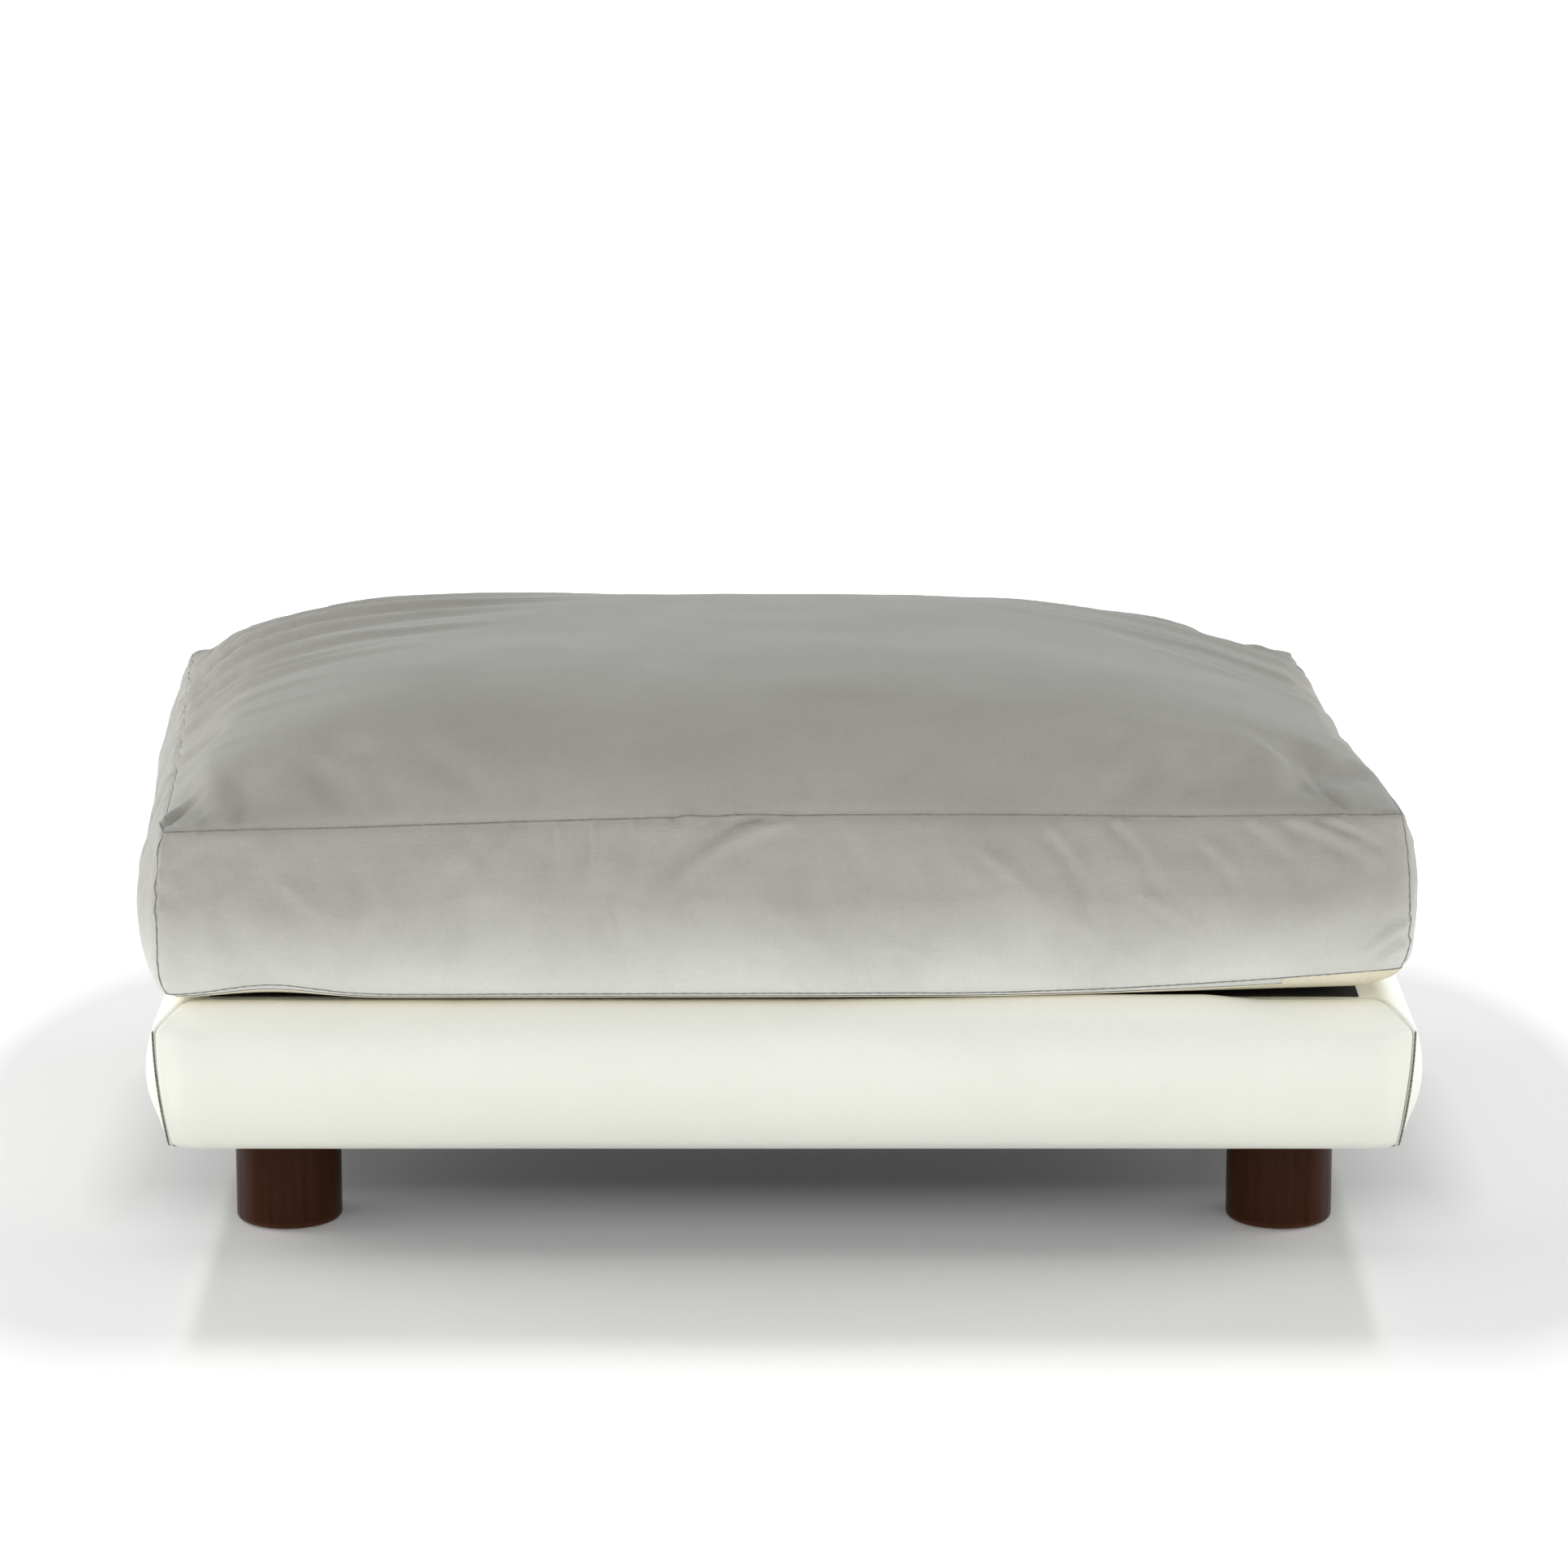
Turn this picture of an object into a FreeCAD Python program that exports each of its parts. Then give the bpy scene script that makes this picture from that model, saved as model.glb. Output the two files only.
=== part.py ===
import FreeCAD, Part
import math
import os

# Dog bed: a low upholstered base on four screw-in turned feet, with a loose box-edge cushion.
# Millimetres. +X runs along the bed, the front faces -Y, +Z is up. The origin is on the floor
# under the middle of the base.

V = FreeCAD.Vector

# ---------------------------------------------------------------- driving dimensions
# upholstered base
baseLength = 762.0
baseDepth = 508.0
baseClearance = 63.5       # floor to the underside of the base
coverThickness = 1.2
padThickness = 10.0        # foam over the outer face of the rails
faceBulge = 7.5            # the padded side stands out this much from a straight face
faceTuck = 8.0             # and is pulled in this much at the bottom edge
tuckRadius = 4.0
crestInset = 17.0          # from the side's face to the highest line of the padded roll
crestRise = 14.2           # from the face's top edge to that line
rollHeight = 2.5           # highest line above the deck panel
rollWidth = 27.0           # the roll ends this far in from the face
coverLap = 24.0            # cover lying on the deck panel past the roll

# frame
railThickness = 22.0
railHeight = 79.0
railEase = 3.0             # bevel along the lower outer edges, so that the cover isn't cut
deckThickness = 9.0
deckInset = 18.0           # edge of the deck panel from the face
blockThickness = 22.0
battenWidth = 30.0
battenHeight = 44.0
battenSpacing = 254.0
deckClothThickness = 0.8
deckClothInset = 33.0
dustCoverThickness = 0.6
dustCoverInset = 18.0
woodScrew = {"length": 38.0, "shank": 4.0, "head": 8.0, "headDepth": 2.4}
deckScrew = {"length": 25.0, "shank": 3.5, "head": 7.0, "headDepth": 2.1}
staple = {"crown": 11.0, "wire": 1.1, "leg": 8.0}
staplePitch = 62.0

# feet
footDiameter = 65.0
footInsetX = 75.0          # end face of the base to the foot's axis
footInsetY = 82.0          # front face of the base to the foot's axis
footTopRound = 1.0
footBottomRound = 3.0
boltDiameter = 8.0
boltProud = 28.0           # machine thread standing out of the foot
boltBuried = 30.0          # wood thread inside the foot
boltPoint = 6.0
threadClearance = 0.05     # radial, between the bolt and what it turns in
boltHole = 10.6            # clearance hole in the block and dust cover
washerDiameter = 26.0
washerThickness = 1.6
nutFlangeDiameter = 22.0
nutFlangeThickness = 1.6
nutBarrelDiameter = 10.6
nutBarrelLength = 11.0
glideDiameter = 40.0
glideThickness = 3.0
glideProud = 1.0

# cushion
cushionLength = 744.0      # between the vertical corner seams
cushionDepth = 494.0
cushionGap = 0.5           # air between the cushion and the top of the roll
boxingHeight = 107.5
boxingBulge = 12.0
bottomRise = 6.0           # bottom seam above the cushion's underside
bottomMargin = 34.0
crownRise = 69.0
crownPower = 3.8           # flatness of the crown: higher is flatter in the middle
clothThickness = 1.5
fibreThickness = 16.0

# zip across the rear side of the cushion cover
zipLength = 560.0
tapeHeight = 12.0
tapeThickness = 1.0
tapeRecess = 0.4
coilHeight = 2.6
coilDepth = 1.8
zipClearance = 0.45
sliderLength = 9.0
sliderWall = 1.1
sliderInset = 12.0         # slider's middle from the closed end of the zip
bridgeSpan = 3.2
bridgeBar = 0.8
bridgeWidth = 1.6
bridgeRise = 1.9
pullBar = 0.5              # radius of the pull's cross-bar
pullLength = 20.0
pullWidth = 5.2
pullThickness = 1.0
pullEye = 3.4              # from the cross-bar to the solid part of the pull
pullSideGap = 0.35

# ---------------------------------------------------------------- derived places
boardInset = coverThickness + padThickness
zBase = baseClearance
zRail = zBase + coverThickness
zDeck = zRail + railHeight
zDeckTop = zDeck + deckThickness
zCrest = zDeckTop + rollHeight
zEdge = zCrest - crestRise
boardLength = baseLength - 2 * boardInset
boardDepth = baseDepth - 2 * boardInset
deckLength = baseLength - 2 * deckInset
deckDepth = baseDepth - 2 * deckInset
innerX = boardLength / 2 - railThickness
innerY = boardDepth / 2 - railThickness
turnUnder = boardInset + railThickness

footX = baseLength / 2 - footInsetX
footY = baseDepth / 2 - footInsetY
zDust = zBase - dustCoverThickness
zFootTop = zDust - washerThickness
zBoltTop = zFootTop + boltProud
zBlockTop = zBase + blockThickness

zCushion = zCrest + cushionGap
zBottomSeam = zCushion + bottomRise
zTopSeam = zBottomSeam + boxingHeight
zZip = (zBottomSeam + zTopSeam) / 2
yTape = cushionDepth / 2 + boxingBulge - tapeRecess
ySliderPlate = yTape + coilDepth + zipClearance
yPullBar = ySliderPlate + sliderWall + bridgeRise / 2
xSlider = zipLength / 2 - sliderInset
cornerNames = {
    "front_left": (-1, -1),
    "front_right": (1, -1),
    "rear_left": (-1, 1),
    "rear_right": (1, 1),
}
sideNames = ("left", "right", "front", "rear")

parts = {}


# ---------------------------------------------------------------- helpers
def box(x0, y0, z0, x1, y1, z1):
    return Part.makeBox(x1 - x0, y1 - y0, z1 - z0, V(x0, y0, z0))


def centredBox(length, depth, z0, z1, x=0.0, y=0.0):
    return box(x - length / 2, y - depth / 2, z0, x + length / 2, y + depth / 2, z1)


def rod(diameter, z0, z1, x=0.0, y=0.0):
    return Part.makeCylinder(diameter / 2, z1 - z0, V(x, y, z0))


def bowed(start, end, bow):
    """Edge from start to end in the XZ plane, standing out to its left by bow."""
    a = V(start[0], 0, start[1])
    b = V(end[0], 0, end[1])
    if bow == 0:
        return Part.LineSegment(a, b).toShape()
    along = b - a
    left = V(-along.z, 0, along.x).normalize()
    return Part.Arc(a, (a + b) * 0.5 + left * bow, b).toShape()


def outline(points):
    """Closed face in the XZ plane; each point is x, z and the bow of the edge that follows."""
    following = points[1:] + points[:1]
    edges = [bowed(p[:2], q[:2], p[2]) for p, q in zip(points, following)]
    return Part.Face(Part.Wire(edges))


def mitred(section, run, reach, out):
    """Section drawn inwards from x = 0, run along Y, with both ends mitred at 45 degrees."""
    low = section.BoundBox.ZMin - 1
    high = section.BoundBox.ZMax + 1
    half = run / 2
    plan = [
        V(-out, -half - out, low),
        V(reach, -half + reach, low),
        V(reach, half - reach, low),
        V(-out, half + out, low),
    ]
    keep = Part.Face(Part.makePolygon(plan + plan[:1])).extrude(V(0, 0, high - low))
    bar = section.translated(V(0, -half - out, 0)).extrude(V(0, run + 2 * out, 0))
    return bar.common(keep)


def onSide(shape, side, length, depth):
    """Move a piece drawn for the left end to the named side of a length by depth rectangle."""
    turn = {"left": 0, "front": 90, "right": 180, "rear": 270}[side]
    place = {
        "left": V(-length / 2, 0, 0),
        "right": V(length / 2, 0, 0),
        "front": V(0, -depth / 2, 0),
        "rear": V(0, depth / 2, 0),
    }[side]
    moved = shape.copy()
    moved.rotate(V(0, 0, 0), V(0, 0, 1), turn)
    moved.translate(place)
    return moved


def runOf(side, length, depth):
    return depth if side in ("left", "right") else length


def screw(size, tip, direction):
    """Countersunk screw with its head's face at the point tip, driven along direction."""
    head = Part.makeCone(
        size["head"] / 2, size["shank"] / 2, size["headDepth"], tip, direction
    )
    shankStart = tip + direction * size["headDepth"]
    shankLength = size["length"] - size["headDepth"] - size["shank"]
    shank = Part.makeCylinder(size["shank"] / 2, shankLength, shankStart, direction)
    pointStart = shankStart + direction * shankLength
    point = Part.makeCone(size["shank"] / 2, 0, size["shank"], pointStart, direction)
    return head.fuse([shank, point]).removeSplitter()


def spread(span, pitch):
    """Evenly spaced places over a span, about a pitch apart and the same at both ends."""
    count = max(2, round(span / pitch) + 1)
    return [-span / 2 + span * i / (count - 1) for i in range(count)]


def cutBy(names, tools):
    for name in names:
        parts[name] = parts[name].cut(tools)


# ---------------------------------------------------------------- wooden frame
def makeFrame():
    for side, sign in (("front", -1), ("rear", 1)):
        y = sign * (boardDepth - railThickness) / 2
        parts[side + "_rail"] = centredBox(boardLength, railThickness, zRail, zDeck, 0, y)
    for side, sign in (("left", -1), ("right", 1)):
        x = sign * (boardLength - railThickness) / 2
        parts[side + "_rail"] = centredBox(railThickness, 2 * innerY, zRail, zDeck, x, 0)
    bevel = outline([
        (boardInset - 1, zRail - 1, 0),
        (boardInset + railEase + 1, zRail - 1, 0),
        (boardInset - 1, zRail + railEase + 1, 0),
    ])
    for side in sideNames:
        run = runOf(side, baseLength, baseDepth)
        wedge = onSide(mitred(bevel, run, 2 * boardInset, 0), side, baseLength, baseDepth)
        cutBy([name + "_rail" for name in sideNames], [wedge])
    for name, sign in (("left", -1), ("right", 1)):
        x = sign * battenSpacing / 2
        z = zDeck - battenHeight
        parts["deck_batten_" + name] = centredBox(battenWidth, 2 * innerY, z, zDeck, x, 0)
    parts["deck_panel"] = centredBox(deckLength, deckDepth, zDeck, zDeckTop)

    for corner, (sx, sy) in cornerNames.items():
        x = sx * footX
        y = sy * footY
        length = 2 * (innerX - footX)
        depth = 2 * (innerY - footY)
        block = centredBox(length, depth, zBase, zBlockTop, x, y)
        zBarrel = zBlockTop - nutBarrelLength
        hole = rod(boltHole, zBase, zBarrel, x, y)
        seat = rod(nutBarrelDiameter, zBarrel, zBlockTop, x, y)
        parts["corner_block_" + corner] = block.cut([hole, seat])


def makeScrews():
    """Screws through the rails and the deck, each in a hole of its own shape."""
    rail = []
    block = []
    batten = []
    deck = []
    zMid = (zRail + zDeck) / 2
    zBlock = zBase + blockThickness / 2
    zBatten = zDeck - battenHeight / 2
    for sy in (-1, 1):
        inward = V(0, -sy, 0)
        y = sy * boardDepth / 2
        for sx in (-1, 1):
            xEnd = sx * (innerX + railThickness / 2)
            for dz in (-railHeight / 4, railHeight / 4):
                rail.append(screw(woodScrew, V(xEnd, y, zMid + dz), inward))
            for dx in (-1, 1):
                xBlock = sx * footX + dx * (innerX - footX) / 2
                block.append(screw(woodScrew, V(xBlock, y, zBlock), inward))
        for sx in (-1, 1):
            for dz in (-battenHeight / 4, battenHeight / 4):
                place = V(sx * battenSpacing / 2, y, zBatten + dz)
                batten.append(screw(woodScrew, place, inward))
    for sx in (-1, 1):
        x = sx * boardLength / 2
        for sy in (-1, 1):
            for dy in (-1, 1):
                yBlock = sy * footY + dy * (innerY - footY) / 2
                block.append(screw(woodScrew, V(x, yBlock, zBlock), V(-sx, 0, 0)))
    down = V(0, 0, -1)
    for sy in (-1, 1):
        yRail = sy * (innerY + deckDepth / 2) / 2
        for x in spread(battenSpacing * 2.4, battenSpacing * 0.6):
            deck.append(screw(deckScrew, V(x, yRail, zDeckTop), down))
    for x in (-battenSpacing / 2, battenSpacing / 2):
        for y in spread(innerY, innerY / 2):
            deck.append(screw(deckScrew, V(x, y, zDeckTop), down))
    for sx in (-1, 1):
        xRail = sx * (innerX + deckLength / 2) / 2
        for y in spread(innerY, innerY / 2):
            deck.append(screw(deckScrew, V(xRail, y, zDeckTop), down))

    frontRear = ["front_rail", "rear_rail"]
    leftRight = ["left_rail", "right_rail"]
    battens = ["deck_batten_left", "deck_batten_right"]
    blocks = ["corner_block_" + corner for corner in cornerNames]
    cutBy(frontRear + leftRight, rail)
    cutBy(frontRear + leftRight + blocks, block)
    cutBy(frontRear + battens, batten)
    cutBy(frontRear + leftRight + battens + ["deck_panel"], deck)
    parts["rail_screws"] = Part.makeCompound(rail)
    parts["block_screws"] = Part.makeCompound(block)
    parts["batten_screws"] = Part.makeCompound(batten)
    parts["deck_screws"] = Part.makeCompound(deck)


# ---------------------------------------------------------------- upholstery of the base
def baseOutline():
    """Padded side seen from its end: x is the distance in from the face, z the height."""
    reach = rollWidth + coverLap + 10
    zLap = zDeckTop + coverThickness
    faceRun = zEdge - zBase - tuckRadius
    crestDrop = zCrest - zLap
    rollRun = rollWidth - crestInset
    rollRadius = (rollRun**2 + crestDrop**2) / (2 * crestDrop)
    rollBow = rollRadius * (1 - math.cos(math.atan2(crestDrop, rollRun)))
    shoulderBow = crestRise * 0.16
    tuckBow = tuckRadius * (math.sqrt(2) - 1) * 0.7
    return outline(
        [
            (reach, zBase, 0),
            (faceTuck + tuckRadius, zBase, -tuckBow),
            (faceTuck - faceTuck * tuckRadius / faceRun, zBase + tuckRadius, faceBulge),
            (0, zEdge, shoulderBow),
            (crestInset, zCrest, rollBow),
            (rollWidth, zLap, 0),
            (reach, zLap, 0),
        ]
    )


def makeUpholstery():
    outer = baseOutline()
    inner = outer.makeOffset2D(-coverThickness)
    far = rollWidth + coverLap + 20
    zSplit = (zRail + zDeck) / 2
    skin = outer.cut(inner)

    def region(x0, z0, x1, z1):
        return outline([(x0, z0, 0), (x1, z0, 0), (x1, z1, 0), (x0, z1, 0)])

    belowDeck = region(turnUnder, zBase - 5, far, zSplit)
    pastLap = region(rollWidth + coverLap, zSplit, far, zCrest + 5)
    rails = outline([
        (boardInset, zDeck, 0), (boardInset, zRail + railEase, 0),
        (boardInset + railEase, zRail, 0), (boardInset + railEase, zBase - 5, 0),
        (far, zBase - 5, 0), (far, zDeck, 0),
    ])
    deck = region(deckInset, zDeck, far, zDeckTop)
    pastRoll = region(rollWidth, zBase - 5, far, zCrest + 5)
    coverSection = skin.cut([belowDeck, pastLap])
    padSection = inner.cut([rails, deck, pastRoll])
    out = faceBulge + 2
    for side in sideNames:
        run = runOf(side, baseLength, baseDepth)
        cover = mitred(coverSection, run, far, out)
        pad = mitred(padSection, run, far, out)
        parts[side + "_cover"] = onSide(cover, side, baseLength, baseDepth)
        parts[side + "_pad"] = onSide(pad, side, baseLength, baseDepth)

    # The deck cloth lies on the panel and steps up over the edge of the cover.
    lapEdge = rollWidth + coverLap
    zLap = zDeckTop + coverThickness
    cloth = centredBox(
        baseLength - 2 * deckClothInset,
        baseDepth - 2 * deckClothInset,
        zDeckTop,
        zLap + deckClothThickness,
    )
    overLap = centredBox(baseLength, baseDepth, zDeckTop - 1, zLap)
    well = centredBox(baseLength - 2 * lapEdge, baseDepth - 2 * lapEdge, zDeckTop - 1, zLap)
    hollow = centredBox(
        baseLength - 2 * (lapEdge + deckClothThickness),
        baseDepth - 2 * (lapEdge + deckClothThickness),
        zDeckTop + deckClothThickness,
        zLap + 5,
    )
    parts["deck_cloth"] = cloth.cut(overLap.cut(well)).cut(hollow)

    dust = centredBox(
        baseLength - 2 * dustCoverInset, baseDepth - 2 * dustCoverInset, zDust, zBase
    )
    holes = [rod(boltHole, zDust, zBase, sx * footX, sy * footY) for sx, sy in cornerNames.values()]
    parts["dust_cover"] = dust.cut(holes)


def oneStaple(x, y, z, alongX, direction):
    """Staple lying flat at height z with its legs going up (1) or down (-1)."""
    wire = staple["wire"]
    half = staple["crown"] / 2
    reach = direction * (staple["leg"] + wire)
    low = min(z, z + direction * wire)
    crown = box(-half, -wire / 2, low, half, wire / 2, low + wire)
    lowLeg = min(z, z + reach)
    legs = [
        box(s * (half - wire / 2) - wire / 2, -wire / 2, lowLeg,
            s * (half - wire / 2) + wire / 2, wire / 2, lowLeg + abs(reach))
        for s in (-1, 1)
    ]
    shape = crown.fuse(legs).removeSplitter()
    if not alongX:
        shape.rotate(V(0, 0, 0), V(0, 0, 1), 90)
    shape.translate(V(x, y, 0))
    return shape


def makeStaples():
    """Rows of staples: under the rails through the dust cover, and on the deck."""
    under = []
    rows = [(turnUnder - 6, zDust - staple["wire"], 1, under)]
    top = []
    rows.append((deckClothInset + 7, zDeckTop + coverThickness, -1, top))
    for inset, z, direction, group in rows:
        spanX = baseLength - 2 * inset - 60
        spanY = baseDepth - 2 * inset - 60
        for sy in (-1, 1):
            for x in spread(spanX, staplePitch):
                group.append(oneStaple(x, sy * (baseDepth / 2 - inset), z, True, direction))
        for sx in (-1, 1):
            for y in spread(spanY, staplePitch):
                group.append(oneStaple(sx * (baseLength / 2 - inset), y, z, False, direction))
    sides = [side + "_rail" for side in sideNames]
    covers = [side + "_cover" for side in sideNames]
    cutBy(sides + covers + ["dust_cover"], under)
    cutBy(covers + ["deck_panel"], top)
    parts["underside_staples"] = Part.makeCompound(under)
    parts["deck_staples"] = Part.makeCompound(top)


# ---------------------------------------------------------------- feet
def makeFeet():
    nuts = []
    zBarrel = zBlockTop - nutBarrelLength
    footBottom = glideProud
    recess = glideThickness - glideProud
    for corner, (sx, sy) in cornerNames.items():
        x = sx * footX
        y = sy * footY
        shank = rod(boltDiameter, zFootTop - boltBuried + boltPoint, zBoltTop, x, y)
        pointTop = V(x, y, zFootTop - boltBuried + boltPoint)
        point = Part.makeCone(boltDiameter / 2, 0, boltPoint, pointTop, V(0, 0, -1))
        bolt = shank.fuse(point).removeSplitter()
        foot = rod(footDiameter, footBottom, zFootTop, x, y)
        rims = {footBottom: footBottomRound, zFootTop: footTopRound}
        for z, radius in rims.items():
            edges = [e for e in foot.Edges if e.Closed and abs(e.BoundBox.ZMin - z) < 0.01
                     and abs(e.BoundBox.ZMax - z) < 0.01]
            foot = foot.makeFillet(radius, edges)
        glide = rod(glideDiameter, 0, glideThickness, x, y)
        pocket = rod(glideDiameter, footBottom - 1, footBottom + recess, x, y)
        parts["foot_" + corner] = foot.cut([bolt, pocket])
        parts["hanger_bolt_" + corner] = bolt
        parts["foot_glide_" + corner] = glide

        bore = boltDiameter + 2 * threadClearance
        washer = rod(washerDiameter, zFootTop, zDust, x, y)
        parts["foot_washer_" + corner] = washer.cut(rod(bore, zFootTop, zDust, x, y))
        flangeTop = zBlockTop + nutFlangeThickness
        flange = rod(nutFlangeDiameter, zBlockTop, flangeTop, x, y)
        barrel = rod(nutBarrelDiameter, zBarrel, zBlockTop, x, y)
        nut = flange.fuse(barrel).removeSplitter()
        nuts.append(nut.cut(rod(bore, zBarrel, flangeTop, x, y)))
    parts["t_nuts"] = Part.makeCompound(nuts)


# ---------------------------------------------------------------- cushion
def cushionSection(span):
    """Cross-section of the cushion below its top seam, over the whole span."""
    half = span / 2
    return outline(
        [
            (half - bottomMargin, zCushion, -bottomRise * 0.15),
            (half, zBottomSeam, -boxingBulge),
            (half, zTopSeam, 0),
            (-half, zTopSeam, -boxingBulge),
            (-half, zBottomSeam, -bottomRise * 0.15),
            (-half + bottomMargin, zCushion, 0),
        ]
    )


def cushionBlock(inset):
    """The boxed part of the cushion, shrunk by inset all round."""
    margin = 4 * boxingBulge
    sections = []
    for span in (cushionLength, cushionDepth):
        section = cushionSection(span)
        sections.append(section.makeOffset2D(-inset) if inset else section)
    reachY = cushionDepth + margin
    alongY = sections[0].translated(V(0, -reachY / 2, 0)).extrude(V(0, reachY, 0))
    reachX = cushionLength + margin
    alongX = sections[1].translated(V(0, -reachX / 2, 0)).extrude(V(0, reachX, 0))
    alongX.rotate(V(0, 0, 0), V(0, 0, 1), 90)
    return alongX.common(alongY)


def crownSurface():
    """Face of the cushion's crown, level with the top seam round its edge."""
    count = 11
    places = [math.sin(math.pi * (i / (count - 1) - 0.5)) for i in range(count)]
    grid = []
    for u in places:
        row = []
        for v in places:
            lift = (1 - abs(u) ** crownPower) * (1 - abs(v) ** crownPower)
            row.append(V(u * cushionLength / 2, v * cushionDepth / 2, zTopSeam + crownRise * lift))
        grid.append(row)
    surface = Part.BSplineSurface()
    surface.interpolate(grid)
    return surface.toShape()


def makeCushion():
    crown = crownSurface()
    fibreTop = crown.translated(V(0, 0, -clothThickness))
    coreTop = crown.translated(V(0, 0, -clothThickness - fibreThickness))
    parts["cover_top_panel"] = crown.extrude(V(0, 0, -clothThickness))
    outerBlock = cushionBlock(0)
    innerBlock = cushionBlock(clothThickness)
    skin = outerBlock.cut(innerBlock)
    wide = 2 * max(cushionLength, cushionDepth)
    zSideTop = zTopSeam - clothThickness
    sides = skin.common(centredBox(wide, wide, zBottomSeam, zSideTop))

    out = boxingBulge + 2
    reach = cushionDepth / 4
    zone = outline([
        (-out, zBottomSeam - 5, 0), (reach, zBottomSeam - 5, 0),
        (reach, zTopSeam + 5, 0), (-out, zTopSeam + 5, 0),
    ])
    for side in sideNames:
        run = runOf(side, cushionLength, cushionDepth)
        quarter = onSide(mitred(zone, run, reach, out), side, cushionLength, cushionDepth)
        parts["boxing_" + side] = sides.common(quarter)
    parts["cover_bottom_panel"] = skin.common(centredBox(wide, wide, zCushion - 1, zBottomSeam))

    slab = fibreTop.extrude(V(0, 0, -fibreThickness))
    boxing = [parts["boxing_" + side] for side in sideNames]
    parts["fibre_topper"] = slab.cut(boxing)
    lowBlock = innerBlock.common(centredBox(wide, wide, zCushion, zSideTop))
    crownBlock = coreTop.extrude(V(0, 0, -boxingHeight / 2))
    inRim = centredBox(
        cushionLength - 2 * clothThickness, cushionDepth - 2 * clothThickness,
        zCushion, zTopSeam + crownRise,
    )
    core = lowBlock.fuse(crownBlock.common(inRim))
    parts["foam_core"] = core.cut(slab)


# ---------------------------------------------------------------- zip
def makeZip():
    half = zipLength / 2
    depth = clothThickness + 1
    zLow = zZip - tapeHeight / 2
    zHigh = zZip + tapeHeight / 2
    yOut = cushionDepth / 2 + boxingBulge
    window = box(-half, yOut - depth, zLow, half, yOut + 1, zHigh)
    parts["boxing_rear"] = parts["boxing_rear"].cut(window)
    parts["zip_tape"] = box(-half, yTape - tapeThickness, zLow, half, yTape, zHigh)
    behind = box(-half, yTape - tapeThickness - depth, zLow, half, yTape, zHigh)
    parts["foam_core"] = parts["foam_core"].cut(behind)

    coils = []
    for sign in (-1, 1):
        low = min(0, sign * coilHeight)
        bar = box(-half + 3, yTape, zZip + low, half - 3, yTape + coilDepth, zZip + low + coilHeight)
        rim = [e for e in bar.Edges if e.Length > zipLength / 2
               and abs(e.BoundBox.YMin - yTape - coilDepth) < 0.01]
        coils.append(bar.makeFillet(coilDepth * 0.35, rim))
    parts["zip_coils"] = Part.makeCompound(coils)

    inner = coilHeight + zipClearance
    outer = inner + sliderWall
    plateTop = ySliderPlate + sliderWall
    x0 = xSlider - sliderLength / 2
    x1 = xSlider + sliderLength / 2
    body = box(x0, yTape + zipClearance, zZip - outer, x1, plateTop, zZip + outer)
    upright = [e for e in body.Edges if abs(e.tangentAt(e.FirstParameter).y) > 0.9]
    body = body.makeFillet(sliderLength * 0.22, upright)
    channel = box(x0 - 1, yTape, zZip - inner, x1 + 1, ySliderPlate, zZip + inner)
    barIn = bridgeSpan / 2
    barOut = barIn + bridgeBar
    bridge = box(xSlider - barOut, plateTop, zZip - bridgeWidth / 2,
                 xSlider + barOut, plateTop + bridgeRise + bridgeBar, zZip + bridgeWidth / 2)
    gap = box(xSlider - barIn, plateTop, zZip - bridgeWidth,
              xSlider + barIn, plateTop + bridgeRise, zZip + bridgeWidth)
    parts["zip_slider"] = body.cut(channel).fuse(bridge.cut(gap)).removeSplitter()

    eye = bridgeWidth + 2 * pullSideGap
    bar = Part.makeCylinder(pullBar, pullWidth, V(xSlider, yPullBar, zZip - pullWidth / 2))
    y0 = yPullBar - pullThickness / 2
    y1 = yPullBar + pullThickness / 2
    tab = box(xSlider - pullLength, y0, zZip - pullWidth / 2, xSlider, y1, zZip + pullWidth / 2)
    far = [e for e in tab.Edges if abs(e.BoundBox.XMax - xSlider + pullLength) < 0.01
           and abs(e.tangentAt(e.FirstParameter).y) > 0.9]
    tab = tab.makeFillet(pullWidth * 0.4, far)
    slot = box(xSlider - pullEye, y0 - 1, zZip - eye / 2, xSlider + 1, y1 + 1, zZip + eye / 2)
    parts["zip_pull"] = tab.cut(slot).fuse(bar).removeSplitter()


def main():
    makeFrame()
    makeScrews()
    makeUpholstery()
    makeStaples()
    makeFeet()
    makeCushion()
    makeZip()
    os.makedirs("parts", exist_ok=True)
    for name, shape in parts.items():
        solids = shape.Solids
        sound = all(s.isValid() and s.isClosed() and s.Volume > 0 for s in solids)
        whole = solids[0] if len(solids) == 1 else Part.makeCompound(solids)
        whole.exportStep("parts/" + name + ".step")
        print(name, len(solids), "solids", round(whole.Volume), "mm3", "" if sound else "UNSOUND")
    print(len(parts), "nodes")


main()
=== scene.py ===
import math
import bpy
import numpy as np
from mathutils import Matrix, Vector, noise


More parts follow.
